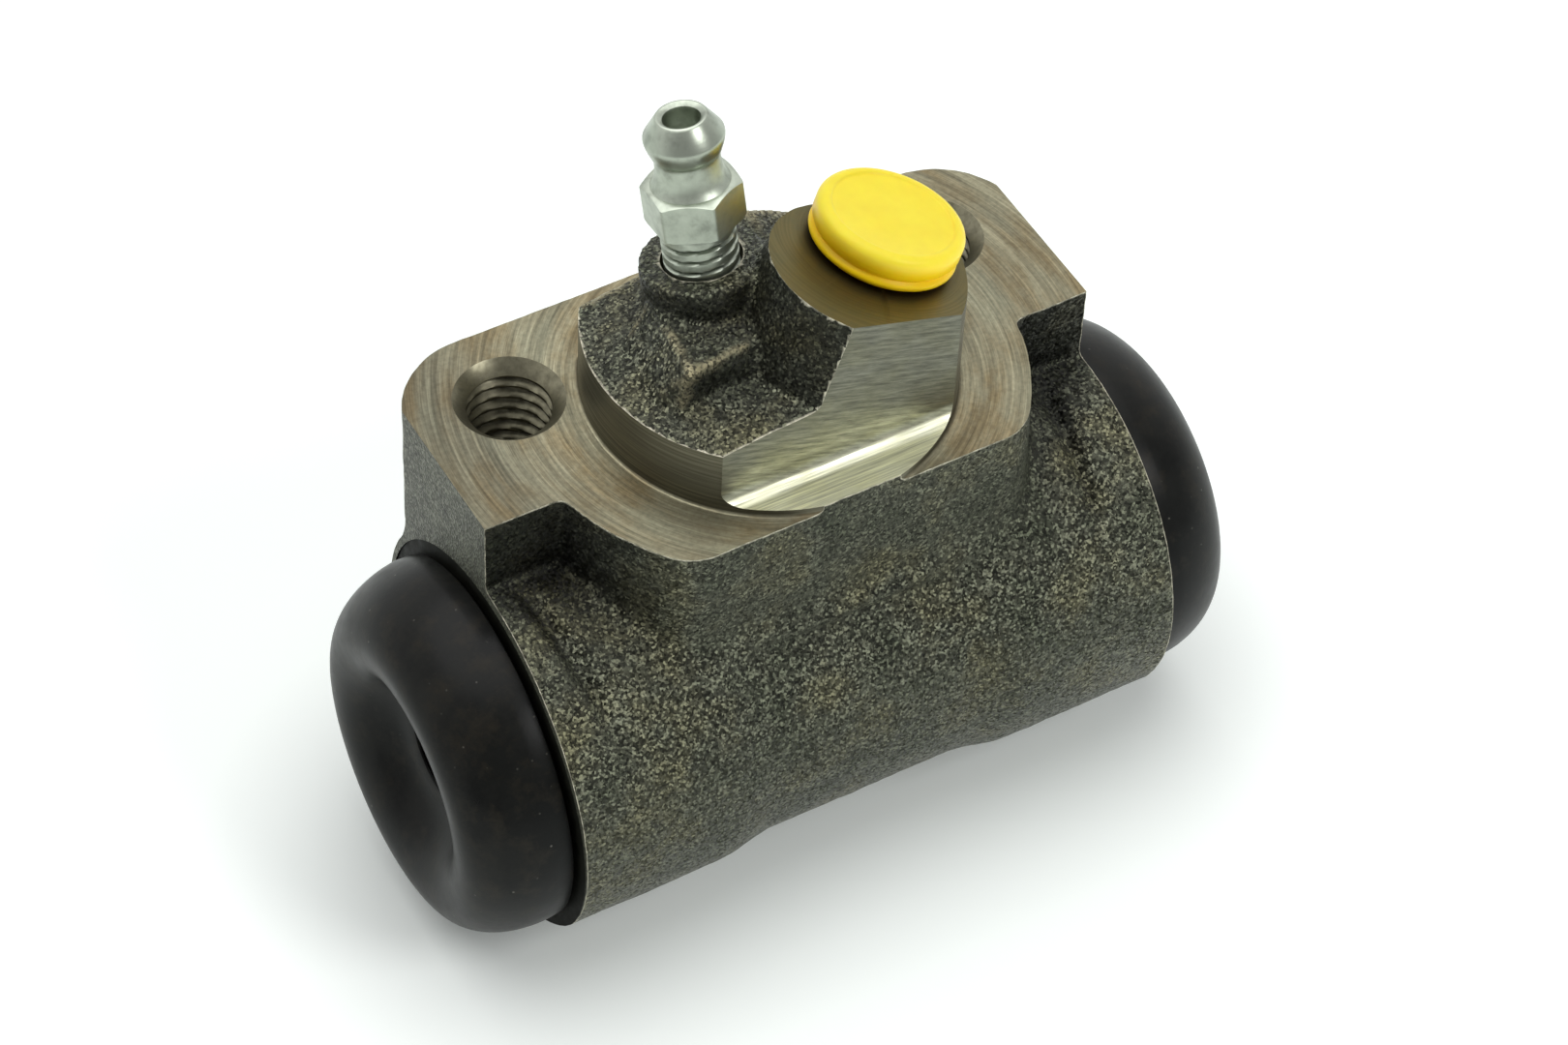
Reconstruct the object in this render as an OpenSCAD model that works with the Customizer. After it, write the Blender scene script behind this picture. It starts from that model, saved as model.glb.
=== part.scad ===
// Drum brake wheel cylinder: a sand-cast iron body with a machined mounting face,
// a turned pilot, an inlet port and a bleeder port, and two pistons that push the
// brake shoes apart. Units are millimetres. The origin is the centre of the pilot
// on the mounting face. +Z points out of that face and +X runs along the bore.

/* [Barrel] */
// Outside diameter of the two cast collars
barrel_d = 34; // [31:0.5:38]
// Length of the cast barrel between its end faces
barrel_len = 54.5; // [50:0.5:66]
// Diameter of the honed bore
bore_d = 22.2; // [19:0.1:23.8]
// Depth of the cast waist between the collars
waist_depth = 0.8; // [0.4:0.1:1.2]
// Length of the waist at full depth
waist_len = 19; // [14:0.5:24]
// Length of the taper at each end of the waist
waist_taper = 3; // [1:0.5:4]
// Edge break on the collars and the bore
edge_break = 0.5; // [0.2:0.1:0.8]

/* [Boot necks] */
// Wall of the turned neck round the bore
neck_wall = 1.9; // [1.5:0.1:2.4]
// Length of the neck beyond the barrel's end face
neck_len = 4; // [3.4:0.1:4.6]
// Distance from the end face to the boot groove
groove_pos = 1.7; // [1.4:0.1:2]
// Width of the boot groove
groove_w = 1.2; // [0.8:0.1:1.6]
// Depth of the boot groove
groove_depth = 0.6; // [0.4:0.1:0.8]

/* [Mounting flange] */
// Height of the mounting face above the bore's axis
axis_drop = 24.2; // [22.5:0.1:27]
// Distance from the pilot's centre to the bore's axis
axis_off = 4; // [3:0.1:5]
// Width of the flange between its straight edges
flange_w = 29.2; // [28:0.2:33]
// Radius of the flange's round sides
flange_r = 20.7; // [19.5:0.1:22]
// Corner radius of the ears
ear_corner_r = 6.95; // [5:0.05:7.5]
// Draft of the pedestal's round sides towards the barrel
pedestal_draft = 1.1; // [0.4:0.1:2]
// Height of the straight far wall
far_wall_h = 13.2; // [11:0.1:14]
// Radius of the cast fillet at the foot of the near wall
foot_fillet = 4; // [2:0.5:6]

/* [Mounting holes] */
// Distance between the two tapped holes
hole_spacing = 38.4; // [37:0.1:40]
// Distance of the holes from the pilot's centre line
hole_off = 7.25; // [6:0.05:8]
// Bore of the tapped holes
hole_tap_d = 6.8; // [6:0.1:7.4]
// Depth of the tapped holes
hole_depth = 12; // [9:0.5:13]
// Diameter of the countersink at the mouth
hole_sink_d = 9; // [8.2:0.1:10]

/* [Pilot] */
// Diameter of the turned pilot
pilot_d = 30; // [29:0.1:32]
// Height of the turned side
pilot_h = 6.1; // [5:0.1:7]
// Distance of the milled flat from the pilot's centre
flat_off = 10.8; // [10.4:0.1:11.6]
// Height of the milled flat's floor
flat_floor = 0.7; // [0.3:0.1:1.2]
// Corner radius left by the milling cutter
flat_corner_r = 1; // [0.4:0.1:1.6]

/* [Cast head] */
// Height of the rough roof at the foot of the ports' block
roof_h = 1.3; // [0.8:0.1:2]
// Height of the block round the ports
block_h = 10; // [9:0.1:11]
// Distance of the block's end from the pilot's centre
block_end = 10; // [9:0.1:11]
// Distance of the block's near side from the pilot's centre
block_near = 5.5; // [4.5:0.1:6.5]
// Draft of the block's near side
block_draft = 6; // [2:1:10]
// Distance of the head's flat back from the pilot's centre
head_back = 8.6; // [8.2:0.1:9.4]
// Height of the web behind the ports
rear_h = 9.7; // [9:0.1:10.2]
// Place along the bore where the web begins to fall
rear_fall_x = 2.4; // [1.5:0.1:3.5]
// Fall of the web towards the inlet's end
rear_fall = 2.8; // [1.5:0.1:3.5]
// Start of the shoulder beside the inlet, along the bore
shoulder_x = 5; // [4:0.5:6]
// Far side of the shoulder beside the inlet
shoulder_back = 2; // [1:0.5:3]
// Height of the shoulder before its spot face is milled
shoulder_h = 12; // [11.5:0.1:12.5]

/* [Inlet port] */
// Tilt of the port along the bore
inlet_tilt = 18.2; // [15:0.1:20]
// Place of the port's foot along the bore
inlet_foot = -0.4; // [-1:0.1:1]
// Place of the port across the bore
inlet_off = 1.65; // [0:0.05:2.5]
// Distance from the top of the bore to the milled spot face
inlet_len = 26.9; // [26:0.1:28]
// Radius of the cast boss
inlet_boss_r = 8.2; // [7.6:0.1:8.8]
// Offset of the cast boss from the port's axis
inlet_boss_shift = 2.35; // [1.5:0.05:2.6]
// Bore of the tapped port
inlet_tap_d = 9; // [8.4:0.1:9.6]
// Depth of the tapped port
inlet_depth = 11; // [9:0.5:13]
// Diameter of the drilled passage
inlet_passage_d = 3; // [2:0.1:3.6]
// Height and width of the conical pipe seat
inlet_seat = 1.2; // [0.8:0.1:1.6]

/* [Inlet plug] */
// Diameter of the plug's head
plug_head_d = 12.1; // [11.4:0.1:13]
// Height of the plug's head
plug_head_h = 3.1; // [2.6:0.1:4]
// Length of the plug's stem in the port
plug_stem_len = 7; // [5:0.5:8.5]
// Wall of the hollow stem
plug_wall = 1.2; // [0.9:0.1:1.6]
// Gap left under the head
plug_lift = 0.4; // [0.1:0.1:0.8]
// Taper of the stem at its tip
plug_lead = 0.5; // [0.2:0.1:0.7]
// Bevel under the head
plug_foot_r = 0.5; // [0.3:0.1:0.7]
// Edge radius on top of the head
plug_edge_r = 0.8; // [0.4:0.1:1.2]
// Radius of the groove round the head
plug_groove_r = 0.5; // [0.3:0.1:0.6]

/* [Bleeder port] */
// Lean of the bleeder across the bore
bleeder_lean = 11.6; // [9:0.1:13]
// Lean of the bleeder along the bore
bleeder_tilt = 3; // [1:0.1:5]
// Place of the bleeder's axis on the bore's axis
bleeder_foot = -2.54; // [-4:0.02:-1]
// Distance from the bore's axis to the top of the bleeder's boss
bleeder_boss_len = 37.2; // [36.4:0.1:38.4]
// Radius of the bleeder's boss
bleeder_boss_r = 5; // [4.6:0.1:5.4]
// Depth of the tapped part of the bleeder's port
bleeder_depth = 11.4; // [9.4:0.1:12.4]
// Diameter of the drilled passage
bleeder_passage_d = 2; // [1.4:0.1:2.4]

/* [Bleeder screw] */
// Outside diameter of the screw's thread
bleeder_thread_d = 6; // [5.4:0.1:6.6]
// Step from the thread to the plain tip
bleeder_step = 0.8; // [0.5:0.1:1]
// Length of the plain tip
bleeder_tip_len = 3; // [2.6:0.1:4]
// Width of the hexagon across its flats
bleeder_hex_w = 7; // [6.5:0.1:8]
// Height of the hexagon above the boss
bleeder_hex_at = 3.8; // [3.2:0.1:4.6]
// Turn of the tightened hexagon about the screw's axis
bleeder_hex_turn = 27; // [0:1:59]
// Length of the hexagon
bleeder_hex_len = 3.4; // [2.8:0.1:4]
// Diameter of the nipple's neck
nipple_neck_d = 4.9; // [4.3:0.1:5.2]
// Diameter of the nipple's bead
nipple_bead_d = 6.3; // [5.8:0.1:6.8]
// Height of the nipple's tapered top
nipple_bead_h = 1.5; // [1.2:0.1:1.9]
// Height of the nipple's top above the boss
nipple_top = 13.3; // [12.6:0.1:14]
// Diameter of the nipple's hole
nipple_hole_d = 2.9; // [2.5:0.1:3.2]
// Diameter of the drilled waterway
waterway_d = 1.8; // [1.5:0.1:2.2]
// Diameter of the cross hole near the tip
cross_hole_d = 1.2; // [0.8:0.1:1.3]

/* [Pistons and cups] */
// Length of each piston
piston_len = 16; // [14:0.5:17]
// Distance of the piston's outer end from the barrel's end face
piston_out = 3.9; // [3.2:0.1:4.2]
// Width of the slot for the brake shoe
slot_w = 5; // [4.6:0.1:6]
// Depth of the slot
slot_depth = 5.5; // [4.6:0.1:7]
// Length of each cup seal
cup_len = 6; // [5:0.5:7]
// Thickness of the cup's base
cup_base = 2.6; // [2:0.1:3]
// Thickness of the cup's lip at its edge
cup_lip = 1.2; // [0.9:0.1:1.6]
// Thickness of the cup's lip at its root
cup_root = 2.2; // [1.8:0.1:2.6]
// Gap between the expander and the cup's lip
expander_gap = 0.6; // [0.3:0.1:1]
// Thickness of the pressed cup expanders
expander_t = 0.8; // [0.6:0.1:1]
// Diameter of the spring seat on the expander
expander_seat_d = 8; // [7:0.1:9]
// Length of the spring seat
expander_seat_len = 2; // [1:0.1:2.4]

/* [Spring] */
// Diameter of the spring's wire
spring_wire_d = 1.1; // [0.8:0.1:1.3]
// Gap between the spring and its seat
spring_gap = 0.2; // [0.1:0.05:0.4]
// Number of half turns in the spring
spring_halves = 10; // [8:2:14]

/* [Dust boots] */
// Outside radius of the boot's skirt
boot_r = 15.5; // [15:0.05:15.9]
// Radius of the boot's rolled edge
boot_roll_r = 6.5; // [6:0.1:7]
// Distance from the barrel's end face to the boot's crest
boot_len = 9.05; // [8.6:0.05:9.6]
// Gap between the boot's skirt and the barrel's end face
boot_gap = 1; // [0.6:0.1:1.3]
// Thickness of the boot's wall
boot_wall = 1.8; // [1.4:0.1:2]
// Radius of the boot's opening
boot_hole_r = 5; // [4.6:0.1:5.4]
// Depth of the dish from the crest to the opening's lip
boot_dish = 3.3; // [2.8:0.1:3.4]

/* [Fits] */
// Radial clearance of the pistons, cups and screws
run_gap = 0.04; // [0.02:0.01:0.08]
// Clearance of the boots on their necks
boot_fit = 0.03; // [0.02:0.01:0.06]

/* [Hidden] */
eps = 0.02;
over = 1;
barrel_r = barrel_d / 2;
bore_r = bore_d / 2;
half_len = barrel_len / 2;
waist_half = waist_len / 2;
neck_r = bore_r + neck_wall;
neck_end = half_len + neck_len;
pilot_r = pilot_d / 2;
flange_half = flange_w / 2;
hole_r = hole_tap_d / 2;
hole_sink_r = hole_sink_d / 2;
drill_point = 31;
// The far wall leans in below its straight part and dies out inside the barrel
web_run = 6.5;
web_drop = 6.5;
pedestal_h = far_wall_h + web_drop;
// The near wall's foot fillet touches the wall and the barrel
wall_y = axis_off - flange_half;
fillet_y = wall_y - foot_fillet;
fillet_z = sqrt(pow(barrel_r + foot_fillet, 2) - pow(fillet_y, 2));
touch_y = fillet_y * barrel_r / (barrel_r + foot_fillet);
touch_z = fillet_z * barrel_r / (barrel_r + foot_fillet);
near_half = sqrt(flange_r * flange_r - flange_half * flange_half);
// Ports
inlet_foot_z = bore_r - axis_drop;
inlet_r = inlet_tap_d / 2;
inlet_seat_r = inlet_r - inlet_seat;
bleeder_r = bleeder_thread_d / 2;
bleeder_tip_r = bleeder_r - bleeder_step;
bleeder_seat_at = bleeder_boss_len - bleeder_depth;
// Where the bleeder's axis passes the top of its boss
bleeder_at_x = bleeder_foot - bleeder_boss_len * sin(bleeder_tilt) * cos(bleeder_lean);
bleeder_at_y = bleeder_boss_len * sin(bleeder_lean) - axis_off;
// The block dies out inside the inlet's boss
block_stop = inlet_foot + inlet_len / 2 * sin(inlet_tilt);
// Pistons, from the middle of the bore outwards
piston_r = bore_r - run_gap;
piston_end = half_len + piston_out;
piston_face = piston_end - piston_len;
cup_face = piston_face - cup_base;
cup_edge = piston_face - cup_len;
cup_inner_r = piston_r - cup_root;
expander_r = cup_inner_r - expander_gap;
spring_end = cup_face - expander_t;
expander_seat_r = expander_seat_d / 2;
spring_r = expander_seat_r + spring_wire_d / 2 + spring_gap;
spring_half_pitch = (2 * spring_end - spring_wire_d) / spring_halves;
// Boots
boot_crest = half_len + boot_len;
boot_roll_c = boot_crest - boot_roll_r;
boot_roll_at = boot_r - boot_roll_r;
boot_start = half_len + boot_gap;
boot_bore_r = neck_r + boot_fit;
boot_bead_r = neck_r - groove_depth + boot_fit;
boot_lip = boot_crest - boot_dish;
boot_lip_r = boot_wall / 2;
bead_at = half_len + groove_pos;

// Puts a shape that stands on +Z along the bore's axis
module along_bore() {
    translate([0, -axis_off, -axis_drop]) rotate([0, 90, 0]) children();
}

// Mirrors a shape made for the right-hand end to the end asked for
module at_end(side) {
    mirror([side < 0 ? 1 : 0, 0, 0]) along_bore() children();
}

// Puts a shape on the inlet port's axis, with Z = 0 at the top of the bore
module on_inlet() {
    translate([inlet_foot, inlet_off - axis_off, inlet_foot_z]) rotate([0, inlet_tilt, 0]) children();
}

// Puts a shape on the bleeder's axis, with Z = 0 on the bore's axis
module on_bleeder() {
    translate([bleeder_foot, -axis_off, -axis_drop]) rotate([-bleeder_lean, -bleeder_tilt, 0]) children();
}

// Ear of the flange on the +X side, with its far corner rounded
module ear_outline() {
    far = flange_half;
    near = -axis_off;
    translate([0, near]) square([half_len - ear_corner_r, far - near]);
    translate([0, near]) square([half_len, far - near - ear_corner_r]);
    translate([half_len - ear_corner_r, far - ear_corner_r]) circle(r = ear_corner_r, $fn = 36);
}

// Side view of the pedestal, drawn as Y and Z: the far wall leans in at its foot
module pedestal_side() {
    low = -pedestal_h;
    polygon([
        [-flange_r - over, 0],
        [flange_half + over, 0],
        [flange_half + over, over - far_wall_h],
        [flange_half - web_run, low],
        [-flange_r - over, low]
    ]);
}

// Extrudes a side view drawn as Y and Z evenly to both sides of the middle
module extrude_across(length) {
    rotate([90, 0, 90]) translate([0, 0, -length / 2]) linear_extrude(height = length) children();
}

// Pedestal between the barrel and the mounting face, with its two ears
module pedestal() {
    intersection() {
        union() {
            intersection() {
                translate([0, 0, -pedestal_h])
                    cylinder(r1 = flange_r + pedestal_draft, r2 = flange_r, h = pedestal_h, $fn = 48);
                translate([-flange_r * 2, -flange_half, -pedestal_h])
                    cube([flange_r * 4, flange_w, pedestal_h]);
            }
            translate([0, 0, -pedestal_h]) linear_extrude(height = pedestal_h) ear_outline();
            translate([0, 0, -pedestal_h]) linear_extrude(height = pedestal_h)
                mirror([1, 0]) ear_outline();
        }
        extrude_across(barrel_len) pedestal_side();
    }
}

// Cast fillet between the pedestal's near wall and the barrel
module near_foot() {
    translate([0, -axis_off, -axis_drop]) extrude_across(2 * near_half) difference() {
        polygon([
            [wall_y + over, fillet_z],
            [wall_y, fillet_z],
            [touch_y, touch_z],
            [wall_y + over, touch_z - over]
        ]);
        translate([fillet_y, fillet_z]) circle(r = foot_fillet, $fn = 36);
    }
}

// Cast barrel with a shallow waist between its collars
module barrel() {
    along_bore() rotate_extrude($fn = 48) polygon([
        [0, -half_len],
        [barrel_r - edge_break, -half_len],
        [barrel_r, edge_break - half_len],
        [barrel_r, -waist_half - waist_taper],
        [barrel_r - waist_depth, -waist_half],
        [barrel_r - waist_depth, waist_half],
        [barrel_r, waist_half + waist_taper],
        [barrel_r, half_len - edge_break],
        [barrel_r - edge_break, half_len],
        [0, half_len]
    ]);
}

// Turned neck that carries a dust boot
module neck() {
    near = half_len + groove_pos;
    far = near + groove_w;
    rotate_extrude($fn = 48) polygon([
        [0, half_len - over],
        [neck_r, half_len - over],
        [neck_r, near],
        [neck_r - groove_depth, near],
        [neck_r - groove_depth, far],
        [neck_r, far],
        [neck_r, neck_end - edge_break],
        [neck_r - edge_break, neck_end],
        [0, neck_end]
    ]);
}

// Block round the ports, drawn as X and Z: it slopes down to the pilot's rim
module block_profile() {
    rim_fall = over * (block_h - pilot_h) / (pilot_r - block_end);
    polygon([
        [-pilot_r - over, 0],
        [-pilot_r - over, pilot_h - rim_fall],
        [-block_end, block_h],
        [block_stop, block_h],
        [block_stop, 0]
    ]);
}

// Block with a drafted near side that runs back to the bleeder's axis
module block() {
    depth = block_near + bleeder_at_y;
    intersection() {
        translate([0, bleeder_at_y, 0]) rotate([90, 0, 0]) linear_extrude(height = depth) block_profile();
        translate([-2 * pilot_r, -block_near, 0]) rotate([-block_draft, 0, 0])
            translate([0, 0, -pilot_h]) cube([4 * pilot_r, 2 * pilot_r, block_h + 2 * pilot_h]);
    }
}

// Web behind the ports, which falls away towards the inlet's end
module rear_web() {
    translate([0, head_back, 0]) rotate([90, 0, 0]) linear_extrude(height = head_back) polygon([
        [bleeder_at_x, 0],
        [bleeder_at_x, rear_h],
        [rear_fall_x, rear_h],
        [inlet_boss_r, rear_h - rear_fall],
        [inlet_boss_r, 0]
    ]);
}

// Cast head that is turned to the pilot's diameter
module cast_head() {
    intersection() {
        union() {
            cylinder(r = pilot_r + over, h = pilot_h, $fn = 48);
            translate([0, 0, pilot_h - eps])
                cylinder(r1 = pilot_r, r2 = block_end, h = roof_h, $fn = 48);
            block();
            rear_web();
            translate([shoulder_x, -flange_half, 0])
                cube([pilot_r - shoulder_x + over, flange_half + shoulder_back, shoulder_h]);
            on_inlet() translate([-inlet_boss_shift, -inlet_boss_shift, over])
                cylinder(r = inlet_boss_r, h = inlet_len - over, $fn = 36);
            on_bleeder() translate([0, 0, bore_r + over])
                cylinder(r = bleeder_boss_r, h = bleeder_boss_len - bore_r - over, $fn = 36);
        }
        translate([0, 0, -over]) cylinder(r = pilot_r, h = axis_drop * 2, $fn = 48);
        translate([-pilot_r, -flange_half, -over])
            cube([pilot_d, flange_half + head_back, axis_drop * 2]);
    }
}

// Milled flat beside the inlet, with the cutter's corner radius at its foot
module flat_cut() {
    side = pilot_r;
    extrude_across(pilot_d + 2 * over) translate([-flat_off - side, flat_floor]) {
        square([side - flat_corner_r, axis_drop * 2]);
        translate([0, flat_corner_r]) square([side, axis_drop * 2]);
        translate([side - flat_corner_r, flat_corner_r]) circle(r = flat_corner_r, $fn = 48);
    }
}

// Tapped blind hole in an ear, with a drill point and a countersink
module mount_hole() {
    point_h = hole_r * tan(drill_point);
    sink_h = hole_sink_r - hole_r;
    translate([0, 0, -hole_depth]) cylinder(r = hole_r, h = hole_depth + over, $fn = 48);
    translate([0, 0, -hole_depth - point_h]) cylinder(r1 = 0, r2 = hole_r, h = point_h + eps, $fn = 48);
    translate([0, 0, -sink_h]) cylinder(r1 = hole_r, r2 = hole_sink_r, h = sink_h, $fn = 48);
    cylinder(r = hole_sink_r, h = over, $fn = 48);
}

// Bore with broken edges
module bore_cut() {
    along_bore() {
        translate([0, 0, -neck_end - over]) cylinder(r = bore_r, h = 2 * (neck_end + over), $fn = 48);
        for (side = [-1, 1]) rotate([side < 0 ? 180 : 0, 0, 0])
            translate([0, 0, neck_end - edge_break])
            cylinder(r1 = bore_r, r2 = bore_r + edge_break + eps, h = edge_break + eps, $fn = 48);
    }
}

// Tapped inlet with a conical seat and a passage into the bore
module inlet_cut() {
    on_inlet() {
        translate([0, 0, -bore_r / 3]) cylinder(r = inlet_passage_d / 2, h = inlet_len, $fn = 32);
        translate([0, 0, inlet_len - inlet_depth]) cylinder(r = inlet_r, h = inlet_depth + over, $fn = 36);
        translate([0, 0, inlet_len - inlet_depth - inlet_seat])
            cylinder(r1 = inlet_seat_r, r2 = inlet_r, h = inlet_seat + eps, $fn = 36);
        translate([0, 0, inlet_len - edge_break])
            cylinder(r1 = inlet_r, r2 = inlet_r + edge_break + eps, h = edge_break + eps, $fn = 36);
        translate([0, 0, inlet_len])
            cylinder(r = 3 * inlet_boss_r, h = axis_drop, $fn = 36);
    }
}

// Tapped bleeder port with a conical seat and a passage into the bore
module bleeder_cut() {
    on_bleeder() {
        translate([0, 0, bore_r * 0.8])
            cylinder(r = bleeder_passage_d / 2, h = bleeder_boss_len - bore_r, $fn = 32);
        translate([0, 0, bleeder_seat_at])
            cylinder(r = bleeder_r + run_gap, h = bleeder_depth + bleeder_hex_at, $fn = 48);
        translate([0, 0, bleeder_seat_at - bleeder_r])
            cylinder(r1 = 0, r2 = bleeder_r + run_gap, h = bleeder_r + eps, $fn = 48);
    }
}

module cylinder_body() color([0.25, 0.24, 0.22]) difference() {
    union() {
        barrel();
        pedestal();
        near_foot();
        cast_head();
        at_end(1) neck();
        at_end(-1) neck();
    }
    flat_cut();
    bore_cut();
    for (side = [-1, 1]) translate([side * hole_spacing / 2, hole_off, 0]) mount_hole();
    inlet_cut();
    bleeder_cut();
}

// Piston with a slot across its outer end for the brake shoe
module piston() {
    difference() {
        rotate_extrude($fn = 48) polygon([
            [0, piston_face],
            [piston_r - edge_break, piston_face],
            [piston_r, piston_face + edge_break],
            [piston_r, piston_end - edge_break],
            [piston_r - edge_break, piston_end],
            [0, piston_end]
        ]);
        translate([-slot_w / 2, -bore_r - over, piston_end - slot_depth])
            cube([slot_w, 2 * (bore_r + over), slot_depth + over]);
    }
}

module piston_left() color([0.72, 0.73, 0.74]) at_end(-1) piston();
module piston_right() color([0.72, 0.73, 0.74]) at_end(1) piston();

// Rubber cup whose lips face the middle of the bore
module cup_seal() {
    rotate_extrude($fn = 48) polygon([
        [0, cup_face],
        [cup_inner_r, cup_face],
        [piston_r - cup_lip, cup_edge],
        [piston_r, cup_edge],
        [piston_r, piston_face],
        [0, piston_face]
    ]);
}

module cup_seal_left() color([0.08, 0.08, 0.08]) at_end(-1) cup_seal();
module cup_seal_right() color([0.08, 0.08, 0.08]) at_end(1) cup_seal();

// Pressed steel disc with a raised collar that centres the spring
module cup_expander() {
    low = spring_end - expander_seat_len;
    rotate_extrude($fn = 36) polygon([
        [expander_seat_r - expander_t, low],
        [expander_seat_r, low],
        [expander_seat_r, spring_end],
        [expander_r, spring_end],
        [expander_r, cup_face],
        [expander_seat_r - expander_t, cup_face]
    ]);
}

module cup_expander_left() color([0.6, 0.6, 0.6]) at_end(-1) cup_expander();
module cup_expander_right() color([0.6, 0.6, 0.6]) at_end(1) cup_expander();

// Half a turn of the spring: a half ring tilted by half of its own advance
module spring_half(turn_end) {
    lift = atan(spring_half_pitch / (2 * spring_r));
    ring_r = spring_r / cos(lift);
    rotate([0, turn_end * lift, 0]) rotate([0, 0, turn_end > 0 ? 180 : 0])
        rotate_extrude(angle = 180, $fn = 14)
        translate([ring_r, 0]) circle(d = spring_wire_d, $fn = 13);
}

module return_spring() color([0.55, 0.56, 0.58]) along_bore() {
    first = spring_wire_d / 2 - spring_end;
    for (i = [0 : spring_halves - 1])
        translate([0, 0, first + (i + 0.5) * spring_half_pitch])
        spring_half(i % 2 == 0 ? 1 : -1);
}

// Section of a dust boot, drawn as radius and distance along the bore
module boot_section() {
    inner_roll = boot_roll_r - boot_wall;
    difference() {
        union() {
            translate([0, boot_start]) square([boot_r, boot_roll_c - boot_start]);
            intersection() {
                translate([boot_roll_at, boot_roll_c]) circle(r = boot_roll_r, $fn = 24);
                translate([0, boot_start]) square([boot_r, boot_crest - boot_start]);
            }
            translate([0, boot_start]) square([boot_roll_at, boot_crest - boot_start]);
        }
        difference() {
            union() {
                translate([0, boot_start - over])
                    square([boot_bore_r, neck_end + boot_fit - boot_start + over]);
                translate([boot_roll_at, boot_roll_c]) circle(r = inner_roll, $fn = 24);
                translate([0, boot_start]) square([boot_roll_at, boot_roll_c + inner_roll - boot_start]);
            }
            translate([boot_hole_r + boot_lip_r, boot_lip - boot_lip_r]) circle(r = boot_lip_r, $fn = 14);
            boot_dish_wall();
            translate([boot_bead_r, bead_at + boot_fit])
                square([boot_bore_r - boot_bead_r + over, groove_w - 2 * boot_fit]);
        }
        boot_dish_cut();
    }
}

// Sloping wall of the dish between the crest and the opening
module boot_dish_wall() {
    polygon([
        [boot_hole_r + boot_lip_r, boot_lip],
        [boot_roll_at, boot_crest],
        [boot_roll_at, boot_crest - boot_wall],
        [boot_hole_r + boot_lip_r, boot_lip - boot_wall]
    ]);
}

// Space in front of the dish and through the opening
module boot_dish_cut() {
    lip = boot_hole_r + boot_lip_r;
    difference() {
        polygon([
            [0, boot_crest + over],
            [boot_roll_at, boot_crest + over],
            [boot_roll_at, boot_crest],
            [lip, boot_lip],
            [lip, boot_lip - boot_wall - over],
            [0, boot_lip - boot_wall - over]
        ]);
        translate([lip, boot_lip - boot_lip_r]) circle(r = boot_lip_r, $fn = 14);
    }
}

module dust_boot() rotate_extrude($fn = 24) boot_section();

module dust_boot_left() color([0.1, 0.1, 0.1]) at_end(-1) dust_boot();
module dust_boot_right() color([0.1, 0.1, 0.1]) at_end(1) dust_boot();

// Section of the screw's conical tip, which seats in the port, and its threaded shank
module bleeder_shank(seat, hex_at) {
    point_r = bleeder_passage_d / 2;
    polygon([
        [0, seat - bleeder_tip_r + point_r],
        [point_r, seat - bleeder_tip_r + point_r],
        [bleeder_tip_r, seat],
        [bleeder_tip_r, seat + bleeder_tip_len],
        [bleeder_r, seat + bleeder_tip_len + bleeder_step],
        [bleeder_r, hex_at + eps],
        [0, hex_at + eps]
    ]);
}

// Section that rounds off the hexagon's corners
module hex_breaks(hex_at, hex_end, corner_r) {
    low_break = 0.3;
    top_break = 0.3;
    polygon([
        [0, hex_at - over],
        [corner_r - low_break - over, hex_at - over],
        [corner_r + over, hex_at + low_break + over],
        [corner_r + over, hex_end - top_break - over / 2],
        [corner_r - 2 * top_break - 2 * over, hex_end + over],
        [0, hex_end + over]
    ]);
}

// Section of the hose nipple: collar, neck and bead
module nipple_section(hex_end, top) {
    collar_h = 1.3;
    bead_flank = 0.9;
    bead_flat = 0.4;
    rim = 0.5;
    bead_at = top - nipple_bead_h;
    polygon([
        [0, hex_end - eps],
        [bleeder_r, hex_end - eps],
        [nipple_neck_d / 2, hex_end + collar_h],
        [nipple_neck_d / 2, bead_at - bead_flat - bead_flank],
        [nipple_bead_d / 2, bead_at - bead_flat],
        [nipple_bead_d / 2, bead_at],
        [nipple_hole_d / 2 + rim, top],
        [0, top]
    ]);
}

// Section of the waterway, which opens out at the nipple's mouth
module waterway_section(low, top) {
    polygon([
        [0, low],
        [waterway_d / 2, low],
        [waterway_d / 2, top - nipple_bead_h],
        [nipple_hole_d / 2, top],
        [nipple_hole_d / 2, top + over],
        [0, top + over]
    ]);
}

// Bleeder screw: conical tip, threaded shank, hexagon and hose nipple
module bleeder_screw() color([0.72, 0.74, 0.7]) on_bleeder() {
    seat = bleeder_seat_at - bleeder_step + 2 * run_gap;
    hex_at = bleeder_boss_len + bleeder_hex_at;
    hex_end = hex_at + bleeder_hex_len;
    corner_r = bleeder_hex_w / sqrt(3);
    top = bleeder_boss_len + nipple_top;
    difference() {
        union() {
            rotate_extrude($fn = 36) bleeder_shank(seat, hex_at);
            intersection() {
                translate([0, 0, hex_at]) rotate([0, 0, bleeder_hex_turn])
                    cylinder(r = corner_r, h = bleeder_hex_len, $fn = 6);
                rotate_extrude($fn = 36) hex_breaks(hex_at, hex_end, corner_r);
            }
            rotate_extrude($fn = 36) nipple_section(hex_end, top);
        }
        rotate_extrude($fn = 32) waterway_section(seat, top);
        translate([0, 0, seat + cross_hole_d]) rotate([90, 0, 0])
            cylinder(d = cross_hole_d, h = 2 * bleeder_thread_d, center = true, $fn = 24);
    }
}

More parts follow.
